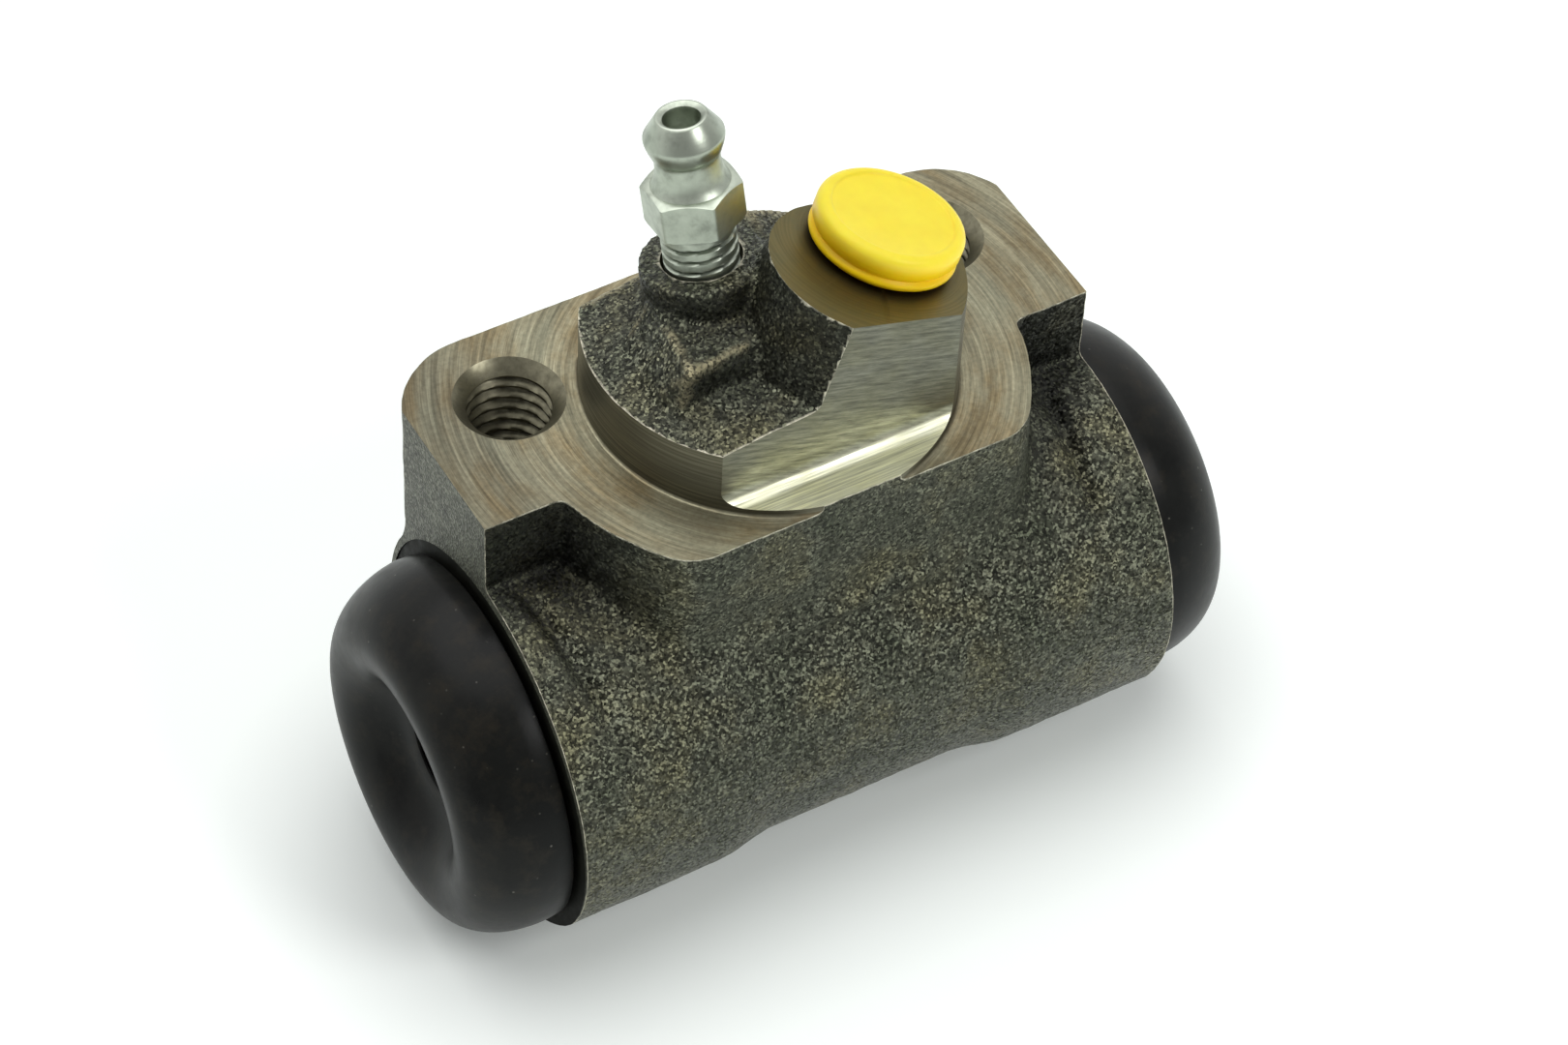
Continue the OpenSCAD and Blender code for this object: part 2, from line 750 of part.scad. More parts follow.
// Push-in plug: a flat head with a groove round its side, and a hollow stem
module inlet_plug() color([0.98, 0.83, 0.2]) on_inlet() {
    foot = inlet_len + plug_lift;
    head_r = plug_head_d / 2;
    stem_r = inlet_r - run_gap;
    tip = foot - plug_stem_len;
    rotate_extrude($fn = 36) difference() {
        union() {
            polygon([
                [0, foot],
                [stem_r - plug_wall, foot],
                [stem_r - plug_wall, tip],
                [stem_r - plug_lead, tip],
                [stem_r, tip + plug_stem_len / 2],
                [stem_r, foot],
                [head_r - plug_foot_r, foot],
                [head_r, foot + plug_foot_r],
                [head_r, foot + plug_head_h - plug_edge_r],
                [head_r - plug_edge_r, foot + plug_head_h],
                [0, foot + plug_head_h]
            ]);
            translate([head_r - plug_edge_r, foot + plug_head_h - plug_edge_r])
                circle(r = plug_edge_r, $fn = 20);
        }
        translate([head_r + plug_groove_r / 2, foot + plug_foot_r + plug_groove_r])
            circle(r = plug_groove_r, $fn = 16);
    }
}

cylinder_body();
piston_left();
piston_right();
cup_seal_left();
cup_seal_right();
cup_expander_left();
cup_expander_right();
return_spring();
dust_boot_left();
dust_boot_right();
bleeder_screw();
inlet_plug();
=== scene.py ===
"""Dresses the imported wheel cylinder: cast and machined iron, rubber boots, zinc bleeder screw and plastic plug."""

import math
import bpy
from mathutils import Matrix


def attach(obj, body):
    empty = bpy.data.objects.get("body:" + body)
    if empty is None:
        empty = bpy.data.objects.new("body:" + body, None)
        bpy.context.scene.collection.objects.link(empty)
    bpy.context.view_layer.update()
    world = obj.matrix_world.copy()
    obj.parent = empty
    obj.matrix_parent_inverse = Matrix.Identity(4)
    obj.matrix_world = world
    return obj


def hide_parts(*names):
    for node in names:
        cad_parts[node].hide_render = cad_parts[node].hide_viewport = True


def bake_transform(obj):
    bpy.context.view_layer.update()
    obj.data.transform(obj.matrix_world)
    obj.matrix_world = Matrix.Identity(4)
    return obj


bl_info = {
    "name": "Wheel Cylinder",
    "version": (1, 0, 0),
    "blender": (4, 5, 0),
    "location": "View3D > Sidebar > Wheel Cylinder",
    "description": "Builds the finished pieces of a drum brake wheel cylinder round its packed frame",
    "category": "Object",
}

import bmesh
import bpy
from bpy.props import FloatProperty, FloatVectorProperty, PointerProperty
from mathutils import Matrix, Vector, noise

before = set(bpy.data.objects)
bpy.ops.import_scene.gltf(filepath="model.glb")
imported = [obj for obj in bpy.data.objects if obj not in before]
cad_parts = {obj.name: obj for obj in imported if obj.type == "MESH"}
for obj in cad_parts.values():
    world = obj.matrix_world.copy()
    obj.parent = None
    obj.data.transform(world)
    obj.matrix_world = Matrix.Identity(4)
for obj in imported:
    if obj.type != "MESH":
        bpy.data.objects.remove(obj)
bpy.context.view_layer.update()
MM = 0.001
TURN = 2 * math.pi

# Places that several shapes share, in millimetres in the part's frame: the bore's axis, the ends of the collars and
# of the necks, half the flange's depth, the pedestal's foot, the holes' line, the head's flat back and the floor
AXIS_Y = -4.0
AXIS_Z = -24.2
COLLAR_END = 27.25
NECK_END = 31.25
FLANGE_HALF = 14.6
FOOT_LOW = -19.7
HOLE_Y = 7.25
HEAD_BACK = 8.6
FLOOR_Z = -41.3
FLOOR_HALF = 3000.0

# The two leaning ports: where each axis starts, how it leans, and distances along it
BLEEDER_FOOT = Vector((-2.54, AXIS_Y, AXIS_Z))
BLEEDER_LEAN = math.radians(11.6)
BLEEDER_TILT = math.radians(3.0)
BOSS_TOP = 37.2
BEAD_FOOT = BOSS_TOP + 9.4
INLET_FOOT = Vector((-0.4, -2.35, -13.1))
INLET_TILT = math.radians(18.2)
SPOT_FACE = 26.9
PLUG_FOOT = SPOT_FACE + 0.4

WHITE = (1.0, 1.0, 1.0, 1.0)
# BLACK also serves as the painted shade on the casting's steep walls
BLACK = (0.0, 0.0, 0.0, 1.0)

# Slots of the casting's material list
CAST, FACED, PILOT, MILLED, SPOT, TURNED, TAPPED, ENDS, SINK, RING = range(10)


def length(name, description, default):
    """A size in metres that shows in the sidebar."""
    return FloatProperty(name=name, description=description, default=default, min=0.0, unit="LENGTH", precision=5)


def colour(name, description, default):
    """A base colour that shows in the sidebar."""
    return FloatVectorProperty(name=name, description=description, default=default, size=3, min=0.0, max=1.0,
                               subtype="COLOR")


class WheelCylinderSizes(bpy.types.PropertyGroup):
    """Sizes of the finished pieces."""

    skin_cell: length("Skin cell", "Cell size of the cast skin's mesh", 0.00036)
    grain_height: length("Grain height", "Height of the cast grain", 0.00005)
    barrel_radius: length("Barrel radius", "Radius of the cast collars", 0.017)
    waist_depth: length("Waist depth", "Depth of the waist between the collars", 0.0008)
    valley_depth: length("Valley depth", "Depth of the valleys beside the collars", 0.0007)
    bore_radius: length("Bore radius", "Radius of the honed bore", 0.0111)
    flange_radius: length("Flange radius", "Radius of the flange's round sides", 0.0207)
    flange_corner: length("Flange corner", "Radius of the flange's front corners", 0.004)
    pilot_radius: length("Pilot radius", "Radius of the turned pilot", 0.015)
    hole_spacing: length("Hole spacing", "Distance between the tapped holes", 0.0384)
    boot_radius: length("Boot radius", "Outside radius of the boots", 0.0156)
    boot_crest: length("Boot crest", "Distance of the boots' crest from the middle", 0.0354)
    skirt_droop: length("Skirt droop", "How far the boots' skirts hang down", 0.00044)
    crown_droop: length("Crown droop", "How far the boots' crowns hang down", 0.00118)
    plug_radius: length("Plug radius", "Radius of the plug's head", 0.00605)


class WheelCylinderColours(bpy.types.PropertyGroup):
    """Colours of the finishes."""

    cast_iron: colour("Cast iron", "Skin of the casting", (0.07, 0.073, 0.052))
    cut_iron: colour("Cut iron", "Machined faces of the casting", (0.166, 0.156, 0.107))
    spot_iron: colour("Spot face", "Oiled face round the inlet", (0.105, 0.09, 0.034))
    rubber: colour("Rubber", "Dust boots", (0.003, 0.0034, 0.0031))
    zinc: colour("Zinc", "Plated bleeder screw", (0.42, 0.46, 0.385))
    plastic: colour("Plastic", "Top of the inlet plug", (1.0, 0.8, 0.06))
    plastic_side: colour("Plastic side", "Deeper side of the inlet plug", (1.0, 0.64, 0.004))


def sizes():
    """The sizes in millimetres."""
    group = bpy.context.scene.wheel_cylinder_sizes
    return {key: getattr(group, key) / MM for key in WheelCylinderSizes.__annotations__}


def colours():
    """The base colours of the finishes."""
    return bpy.context.scene.wheel_cylinder_colours


# Meshes


def spun(points, steps, closed=False):
    """A solid spun from (radius, distance) points about Z; a closed outline gives a ring."""
    bm = bmesh.new()
    verts = [bm.verts.new((r, 0.0, d)) for r, d in points]
    edges = [bm.edges.new(pair) for pair in zip(verts, verts[1:])]
    if closed:
        edges.append(bm.edges.new((verts[-1], verts[0])))
    bmesh.ops.spin(bm, geom=verts + edges, cent=(0, 0, 0), axis=(0, 0, 1), dvec=(0, 0, 0), angle=TURN, steps=steps,
                   use_merge=True, use_duplicate=False)
    bmesh.ops.remove_doubles(bm, verts=bm.verts, dist=1e-4)
    bmesh.ops.recalc_face_normals(bm, faces=bm.faces)
    return bm


def prism(outline, low, high):
    """A straight prism over an outline of (x, y) points."""
    bm = bmesh.new()
    face = bm.faces.new([bm.verts.new((x, y, low)) for x, y in outline])
    raised = bmesh.ops.extrude_face_region(bm, geom=[face])
    top = [item for item in raised["geom"] if isinstance(item, bmesh.types.BMVert)]
    bmesh.ops.translate(bm, vec=(0, 0, high - low), verts=top)
    bmesh.ops.recalc_face_normals(bm, faces=bm.faces)
    return bm


def hulled(points):
    """The convex solid round a few points."""
    bm = bmesh.new()
    for point in points:
        bm.verts.new(point)
    made = bmesh.ops.convex_hull(bm, input=bm.verts)
    spare = [item for item in made["geom_interior"] if isinstance(item, bmesh.types.BMVert)]
    if spare:
        bmesh.ops.delete(bm, geom=spare, context="VERTS")
    bmesh.ops.recalc_face_normals(bm, faces=bm.faces)
    return bm


def sliced(bm, point, normal):
    """Cuts away what lies beyond a plane and closes the cut."""
    cut = bmesh.ops.bisect_plane(bm, geom=bm.verts[:] + bm.edges[:] + bm.faces[:], dist=1e-5, plane_co=point,
                                 plane_no=normal, clear_outer=True)
    rim = [item for item in cut["geom_cut"] if isinstance(item, bmesh.types.BMEdge)]
    if rim:
        bmesh.ops.holes_fill(bm, edges=rim)
    bmesh.ops.recalc_face_normals(bm, faces=bm.faces)
    return bm


def moved(bm, matrix):
    """The shape at its new place."""
    bmesh.ops.transform(bm, matrix=matrix, verts=bm.verts)
    return bm


def laid(outline, half, y=0.0, z=0.0):
    """A prism along X over an outline of (y, z) points, about a line."""
    made = moved(prism(outline, -half, half), Matrix(((0, 0, 1, 0), (1, 0, 0, y), (0, 1, 0, z), (0, 0, 0, 1))))
    bmesh.ops.recalc_face_normals(made, faces=made.faces)
    return made


def smoothed(bm, verts, passes):
    """Smooths some points a number of times."""
    for _ in range(passes):
        bmesh.ops.smooth_vert(bm, verts=verts, factor=0.5, use_axis_x=True, use_axis_y=True, use_axis_z=True)


def merged(parts):
    """All the parts as one bmesh."""
    whole = bmesh.new()
    for part in parts:
        scrap = bpy.data.meshes.new("scrap")
        part.to_mesh(scrap)
        part.free()
        whole.from_mesh(scrap)
        bpy.data.meshes.remove(scrap)
    return whole


def arc(centre, radius, start, end, steps):
    """Points on an arc, angles in degrees."""
    turns = [math.radians(start + (end - start) * i / steps) for i in range(steps + 1)]
    return [(centre[0] + radius * math.cos(t), centre[1] + radius * math.sin(t)) for t in turns]


def scratch(bm, name, materials=(), indices=None):
    """A helper object in millimetres, for modifiers to work on."""
    mesh = bpy.data.meshes.new(name)
    bm.to_mesh(mesh)
    bm.free()
    for material in materials:
        mesh.materials.append(material)
    if indices is not None:
        for polygon in mesh.polygons:
            polygon.material_index = indices(polygon) if callable(indices) else indices
    made = bpy.data.objects.new(name, mesh)
    bpy.context.scene.collection.objects.link(made)
    return made


def baked(made):
    """Replaces an object's mesh by what its modifiers make of it."""
    bpy.context.view_layer.update()
    graph = bpy.context.evaluated_depsgraph_get()
    mesh = bpy.data.meshes.new_from_object(made.evaluated_get(graph), depsgraph=graph)
    old = made.data
    made.modifiers.clear()
    made.data = mesh
    bpy.data.meshes.remove(old)
    return made


def joined(made, tool, operation):
    """Boolean of two helper objects; the tool is used up."""
    step = made.modifiers.new("boolean", "BOOLEAN")
    step.operation = operation
    step.object = tool
    step.solver = "MANIFOLD"
    before = len(made.data.polygons)
    baked(made)
    if not made.data.polygons:
        raise RuntimeError(f"{made.name} lost its faces to {tool.name}, from {before}")
    spare = tool.data
    bpy.data.objects.remove(tool)
    bpy.data.meshes.remove(spare)
    return made


def finished(made, body, slot, *nodes, sharp=35.0):
    """Scales a piece to metres, shades it and ties it to the frame."""
    made.data.transform(Matrix.Scale(MM, 4))
    for polygon in made.data.polygons:
        polygon.use_smooth = True
    made.data.set_sharp_from_angle(angle=math.radians(sharp))
    made.data.update()
    if body:
        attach(made, body)
    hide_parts(*nodes)
    return made


def on_bleeder(distance=0.0):
    """Matrix that puts a shape on the bleeder's axis."""
    turn = Matrix.Rotation(-BLEEDER_TILT, 4, "Y") @ Matrix.Rotation(-BLEEDER_LEAN, 4, "X")
    return Matrix.Translation(BLEEDER_FOOT) @ turn @ Matrix.Translation((0, 0, distance))


def on_inlet():
    """Matrix that puts a shape on the inlet's axis."""
    return Matrix.Translation(INLET_FOOT) @ Matrix.Rotation(INLET_TILT, 4, "Y")


def on_bore(side=1):
    """Matrix that puts a shape made along Z on the bore's axis, towards +X or -X."""
    return Matrix.Translation((0, AXIS_Y, AXIS_Z)) @ Matrix.Rotation(side * math.pi / 2, 4, "Y")


def threaded(bm, pitch, crest, depth, low, high, tap=False):
    """Presses a helical thread into the rows of a spun rod; crest is the radius that is kept.
    A rod runs out at its crest, and a tap at its core."""
    slope, start = (1.5, 0.25) if tap else (4.0, 2.5)
    run_out = 0.5 * pitch
    for vert in bm.verts:
        x, y, z = vert.co
        radius = math.hypot(x, y)
        if z < low or z > high or abs(radius - crest) > 1e-3:
            continue
        wave = (z / pitch - math.atan2(y, x) / TURN) % 1.0
        shape = min(1.0, max(0.0, abs(2 * wave - 1) * slope - start))
        ends = max(0.0, min(1.0, (z - low) / run_out, (high - z) / run_out))
        press = 1 - (1 - shape) * ends if tap else shape * ends
        scale = (crest - depth * press) / radius
        vert.co.x *= scale
        vert.co.y *= scale
    bm.normal_update()
    return bm


def rows(radius, low, high, step):
    """Closely spaced (radius, distance) points up a rod, for a thread."""
    count = max(2, round((high - low) / step))
    return [(radius, low + (high - low) * i / count) for i in range(count + 1)]


# Materials


class Nodes:
    """A node tree and short names for the nodes that are put in it."""

    def __init__(self, tree):
        self.tree = tree

    def node(self, kind, inputs=(), **settings):
        made = self.tree.nodes.new(kind)
        for key, value in settings.items():
            setattr(made, key, value)
        for key, value in dict(inputs).items():
            self.feed(made.inputs[key], value)
        return made

    def feed(self, socket, value):
        if isinstance(value, bpy.types.NodeSocket):
            self.tree.links.new(value, socket)
        else:
            socket.default_value = value

    def math(self, operation, a, b=0.0, clamp=False):
        return self.node("ShaderNodeMath", {0: a, 1: b}, operation=operation, use_clamp=clamp).outputs[0]

    def times(self, a, b, clamp=False):
        return self.math("MULTIPLY", a, b, clamp)

    def vector(self, operation, inputs, result="Vector"):
        return self.node("ShaderNodeVectorMath", inputs, operation=operation).outputs[result]

    def split(self, vector):
        return self.node("ShaderNodeSeparateXYZ", {"Vector": vector}).outputs

    def join(self, x=0.0, y=0.0, z=0.0):
        return self.node("ShaderNodeCombineXYZ", {"X": x, "Y": y, "Z": z}).outputs["Vector"]

    def span(self, value, low, high, first=0.0, last=1.0):
        """Runs from first to last while a value goes from low to high."""
        return self.node("ShaderNodeMapRange", {"Value": value, "From Min": low, "From Max": high, "To Min": first,
                                                "To Max": last}).outputs["Result"]

    def shown(self, mirrored=1.0):
        """1 in what the camera sees, mirrored in what metal and glass reflect, 0 as light on the part."""
        path = self.node("ShaderNodeLightPath").outputs
        other = self.math("MAXIMUM", path["Is Glossy Ray"], path["Is Transmission Ray"])
        return self.math("MAXIMUM", path["Is Camera Ray"], self.times(other, mirrored))


class Finish(Nodes):
    """A material and short names for its patterns."""

    def __init__(self, name):
        self.material = bpy.data.materials.new(name)
        self.material.use_nodes = True
        super().__init__(self.material.node_tree)
        self.shader = self.tree.nodes["Principled BSDF"]
        self.coords = self.tree.nodes.new("ShaderNodeTexCoord")

    def set(self, **values):
        """Sets the shader's sockets; underscores stand for spaces."""
        for key, value in values.items():
            self.feed(self.shader.inputs[key.replace("_", " ")], value)
        return self

    def place(self, centre=(0, 0, 0), turn=(0, 0, 0)):
        """Object coordinates in millimetres about a centre."""
        made = self.node("ShaderNodeMapping", {"Location": [c * MM for c in centre], "Rotation": turn,
                                               "Scale": (MM, MM, MM)}, vector_type="TEXTURE")
        self.tree.links.new(self.coords.outputs["Object"], made.inputs["Vector"])
        return made.outputs["Vector"]

    def noise(self, vector, scale, detail=3.0, roughness=0.55):
        return self.node("ShaderNodeTexNoise", {"Vector": vector, "Scale": scale, "Detail": detail,
                                                "Roughness": roughness}).outputs["Fac"]

    def cells(self, vector, scale):
        return self.node("ShaderNodeTexVoronoi", {"Vector": vector, "Scale": scale}).outputs

    def ramp(self, fac, *stops):
        made = self.node("ShaderNodeValToRGB", {"Fac": fac})
        line = made.color_ramp
        while len(line.elements) < len(stops):
            line.elements.new(0.5)
        for element, (place, shade) in zip(line.elements, stops):
            element.position = place
            element.color = (*shade, 1.0) if isinstance(shade, (tuple, list)) else (shade, shade, shade, 1.0)
        return made.outputs["Color"]

    def tones(self, fac, shade, *stops):
        """Ramp through one colour at several gains, given as (place, gain)."""
        return self.ramp(fac, *[(place, tuple(min(1.0, part * gain) for part in shade)) for place, gain in stops])

    def mix(self, fac, a, b, blend="MIX"):
        made = self.node("ShaderNodeMix", data_type="RGBA", blend_type=blend)
        for key, value in (("Factor", fac), ("A", a), ("B", b)):
            self.feed(made.inputs[key], value)
        return made.outputs["Result"]

    def tinted(self, colour, tint, share=1.0):
        """A colour multiplied by a tint."""
        return self.mix(share, colour, tint, "MULTIPLY")

    def polar(self, vector):
        """Radius, direction and height about the local Z axis; the direction runs round without a seam."""
        x, y, z = self.split(vector)
        flat = self.join(x, y, 0.0)
        return self.vector("LENGTH", {0: flat}, "Value"), self.vector("NORMALIZE", {0: flat}), z

    def rings(self, along, fine, turn, wide, detail=3.0, roughness=0.7):
        """Streaks that run round an axis: fine across it, wide round it."""
        x, y, _ = self.split(turn)
        scaled = [self.times(part, gain) for part, gain in ((along, fine), (x, wide), (y, wide))]
        return self.noise(self.join(*scaled), 1.0, detail, roughness)

    def attribute(self, name):
        return self.node("ShaderNodeAttribute", attribute_name=name).outputs["Fac"]

    def facets(self, chance, lean):
        """Surface normal leaned by a chance vector, one lean to each grain."""
        off = self.vector("SUBTRACT", {0: chance, 1: (0.5, 0.5, 0.5)})
        off = self.vector("SCALE", {0: off, "Scale": lean})
        normal = self.node("ShaderNodeNewGeometry").outputs["Normal"]
        return self.vector("NORMALIZE", {0: self.vector("ADD", {0: normal, 1: off})})

    def shade_in_hollows(self, reach, *stops, local=True):
        """Painted shade in the hollows within a reach in millimetres."""
        made = self.node("ShaderNodeAmbientOcclusion", {"Distance": reach * MM}, samples=8, only_local=local)
        return self.ramp(made.outputs["AO"], *stops)

    def bump(self, height, strength, distance, normal=None):
        made = self.node("ShaderNodeBump", {"Height": height, "Strength": strength, "Distance": distance * MM})
        if normal is not None:
            self.tree.links.new(normal, made.inputs["Normal"])
        return made.outputs["Normal"]

    def surface(self, pattern, low, high, strength, distance):
        """Roughness and bump from one pattern; gives the finished material."""
        self.set(Roughness=self.ramp(pattern, (0.3, low), (0.7, high)), Normal=self.bump(pattern, strength, distance))
        return self.material


def cast_finish():
    """Sand-cast iron with a grain that carries painted sparkle where the skin faces up, painted shade in the hollows,
    on the head's steep walls and in the notches beside the pedestal, ridges lighter for wear and as a painted
    highlight, and burrs where a cut leaves its edge.
    """
    f = Finish("cast_iron")
    at = f.place()
    grains = f.cells(at, 5.0)
    chance = f.split(grains["Color"])[0]
    fine = f.noise(at, 6.0, 3.0, 0.65)
    patch = f.noise(at, 0.16, 3.0, 0.6)
    pits = f.ramp(f.cells(at, 0.5)["Distance"], (0.04, 0.25), (0.1, 1.0))
    speck = f.math("ADD", f.times(chance, 0.54), f.times(fine, 0.46))
    # calm and bright are a shaded and a lit copy of the grain; bright carries a painted sparkle
    calm = f.tones(speck, colours().cast_iron, (0.2, 0.28), (0.45, 0.77), (0.65, 1.25), (0.82, 3.4))
    bright = f.tones(speck, colours().cast_iron, (0.22, 0.16), (0.45, 0.55), (0.62, 1.3), (0.8, 4.8))
    # up puts the lit copy, with its painted sparkle, on skin that faces up
    facing = f.split(f.node("ShaderNodeNewGeometry").outputs["Normal"])[2]
    up = f.ramp(facing, (0.2, 0.0), (0.55, 1.0))
    skin = f.mix(up, calm, bright)
    tint = f.ramp(patch, (0.32, (0.72, 0.76, 0.72)), (0.5, (1.0, 1.0, 1.0)), (0.68, (1.25, 1.16, 0.98)))
    skin = f.tinted(f.tinted(skin, tint), pits)
    # Ridges of the skin are lighter, partly for wear and partly as a painted highlight
    wear_and_highlight = f.times(f.attribute("wear_and_highlight"), f.ramp(speck, (0.3, 0.15), (0.6, 1.0)), clamp=True)
    skin = f.mix(wear_and_highlight, skin, (0.4, 0.36, 0.22, 1.0))
    # Painted shade in the hollows of the casting, halved on the head
    cast_hollow_shade = f.shade_in_hollows(10, (0.3, 0.03), (0.55, 0.14), (0.76, 0.62), (0.88, 1.0))
    x, y, z = f.split(at)
    on_head = f.span(z, 3.5, 5.5)
    cast_hollow_shade = f.mix(f.times(on_head, 0.5), cast_hollow_shade, WHITE)
    # Painted shade on the head's steep walls and on the walls of the notches beside the pedestal, where the light is
    # blocked
    steep = f.ramp(facing, (0.3, 1.0), (0.72, 0.0))
    across = f.ramp(f.math("ABSOLUTE", f.times(x, 0.04)), (0.52, 0.0), (0.66, 1.0))
    deep = f.math("ADD", f.times(y, 0.05), 0.8)
    beside = f.times(across, f.ramp(deep, (0.08, 0.0), (0.35, 1.0), (0.8, 1.0), (0.9, 0.0)))
    dark = f.times(f.math("MAXIMUM", on_head, beside), f.times(steep, 0.62), clamp=True)
    skin = f.tinted(skin, f.mix(dark, cast_hollow_shade, BLACK))
    edge = f.math("POWER", f.attribute("rim"), 0.6)
    edge = f.times(edge, f.ramp(f.noise(at, 1.4, 2.0), (0.35, 0.3), (0.6, 1.0)), clamp=True)
    f.set(Base_Color=f.mix(edge, skin, (0.75, 0.71, 0.56, 1.0)), Specular_IOR_Level=0.15)
    # The painted shade in the hollows also takes down the metal's shine there
    f.set(Metallic=f.times(cast_hollow_shade, 0.35), Roughness=f.ramp(fine, (0.3, 0.26), (0.7, 0.44)))
    f.set(Normal=f.bump(fine, 0.6, 0.12, f.facets(grains["Color"], 0.9)))
    return f.material


def end_finish():
    """End faces of the ears, a finer grain than the skin's."""
    f = Finish("end_iron")
    at = f.place()
    grains = f.cells(at, 4.2)
    chance = f.split(grains["Color"])[0]
    patch = f.noise(at, 0.3, 3.0, 0.6)
    grain = f.tones(chance, colours().cast_iron, (0.1, 0.4), (0.6, 0.9), (0.95, 2.0))
    cloud = f.tones(patch, colours().cast_iron, (0.3, 0.4), (0.7, 2.0))
    f.set(Base_Color=f.mix(0.3, grain, cloud), Metallic=0.45)
    f.set(Roughness=f.ramp(chance, (0.0, 0.6), (1.0, 0.42)), Normal=f.bump(grains["Distance"], 0.7, 0.1))
    return f.material


def oiled_and_shaded_end_finish():
    """End of the barrel behind a boot, oily, and painted near black as shade in the gap."""
    f = Finish("oiled_and_shaded_end")
    at = f.place()
    cloud = f.noise(at, 0.8, 3.0, 0.6)
    f.set(Base_Color=f.tones(cloud, colours().cast_iron, (0.3, 0.06), (0.7, 0.14)), Specular_IOR_Level=0.1)
    return f.surface(cloud, 0.5, 0.7, 0.2, 0.05)


def sink_finish():
    """Bright cone at the mouth of a tapped hole."""
    f = Finish("countersunk_iron")
    at = f.place()
    cloud = f.noise(at, 1.6, 3.0, 0.6)
    f.set(Base_Color=f.tones(cloud, colours().cut_iron, (0.3, 0.9), (0.5, 1.25), (0.75, 1.6)), Metallic=0.9)
    return f.surface(cloud, 0.42, 0.3, 0.1, 0.04)


def faced_finish():
    """Lathe-faced iron: fine rings round the pilot and brown tints."""
    f = Finish("faced_iron")
    at = f.place()
    radius, turn, _ = f.polar(at)
    rings = f.rings(radius, 3.4, turn, 1.8, 4.0, 0.8)
    bands = f.rings(radius, 0.35, turn, 2.4, 4.0, 0.6)
    specks = f.noise(at, 2.4, 3.0, 0.6)
    metal = f.tones(rings, colours().cut_iron, (0.3, 0.55), (0.5, 0.92), (0.72, 1.5))
    tint = f.ramp(bands, (0.36, (0.8, 0.66, 0.5)), (0.5, (1.0, 0.97, 0.92)), (0.66, (1.06, 1.1, 1.1)))
    metal = f.tinted(metal, tint, 0.8)
    left = f.span(f.split(at)[0], -23.5, -16.0)
    metal = f.tinted(metal, f.ramp(left, (0.0, (0.74, 0.74, 0.76)), (1.0, (1.14, 1.14, 1.14))))
    f.set(Base_Color=f.tinted(metal, f.ramp(specks, (0.3, 0.6), (0.6, 1.1)), 0.5), Metallic=0.9)
    return f.surface(rings, 0.5, 0.36, 0.3, 0.05)


def pilot_finish():
    """Turned side of the pilot: dark, with lines round it."""
    f = Finish("turned_pilot")
    at = f.place()
    _, turn, height = f.polar(at)
    lines = f.rings(height, 4.5, turn, 1.2, 4.0, 0.7)
    f.set(Base_Color=f.tones(lines, colours().cut_iron, (0.32, 0.5), (0.52, 0.85), (0.75, 1.5)), Metallic=0.85)
    return f.surface(lines, 0.48, 0.33, 0.3, 0.05)


def milled_finish():
    """Milled flat: slanting cutter marks on the wall, bright lengthwise ones on the floor, and the floor and the
    corner's round painted lighter than the wall as a highlight.
    """
    f = Finish("milled_iron")
    at = f.place()
    x, y, z = f.split(at)
    slant = f.math("ADD", f.times(x, 0.35), z)
    wall = f.noise(f.join(f.times(slant, 3.2), f.times(x, 0.35), 0.0), 1.0, 4.0, 0.7)
    floor = f.noise(f.join(f.times(y, 5.0), f.times(x, 0.12), 0.0), 1.0, 3.0, 0.7)
    low = f.math("LESS_THAN", z, 1.2)
    marks = f.mix(low, wall, floor)
    cloud = f.noise(at, 0.35, 3.0, 0.6)
    metal = f.tones(marks, colours().cut_iron, (0.36, 0.65), (0.5, 1.0), (0.64, 1.35))
    tint = f.ramp(cloud, (0.35, (0.86, 0.93, 0.96)), (0.65, (0.93, 1.02, 1.18)))
    metal = f.tinted(metal, tint, 0.8)
    # Painted highlight: the floor and the corner's round are lighter than the wall, less as the wall rises
    rise = f.span(z, 0.6, 4.6)
    corner = f.ramp(rise, (0.03, 0.84), (0.12, 0.62), (0.25, 0.42), (0.4, 0.26), (0.85, 0.2))
    metal = f.tinted(metal, corner)
    f.set(Base_Color=f.tinted(metal, (5.0, 5.0, 5.0, 1.0)), Metallic=0.9)
    return f.surface(marks, 0.45, 0.3, 0.22, 0.05)


def spot_finish():
    """Smooth olive spot face with faint rings round the port, painted shade in its hollows and painted shadow round
    the plug.
    """
    f = Finish("spot_faced_iron")
    at = f.place(INLET_FOOT, (0, INLET_TILT, 0))
    radius, turn, _ = f.polar(at)
    rings = f.rings(radius, 6.0, turn, 0.6, 3.0, 0.6)
    cloud = f.noise(at, 0.5, 3.0, 0.6)
    metal = f.tones(rings, colours().spot_iron, (0.3, 1.0), (0.5, 1.2), (0.75, 1.4))
    metal = f.tinted(metal, f.ramp(cloud, (0.35, (0.85, 0.9, 1.0)), (0.65, (1.1, 1.0, 0.9))), 0.6)
    # Painted shadow round and under the plug, and painted shade in the hollows
    f.set(Base_Color=f.tinted(metal, f.shade_in_hollows(2.4, (0.3, 0.25), (0.75, 1.0), local=False)))
    f.set(Metallic=0.85)
    return f.surface(rings, 0.42, 0.34, 0.12, 0.04)


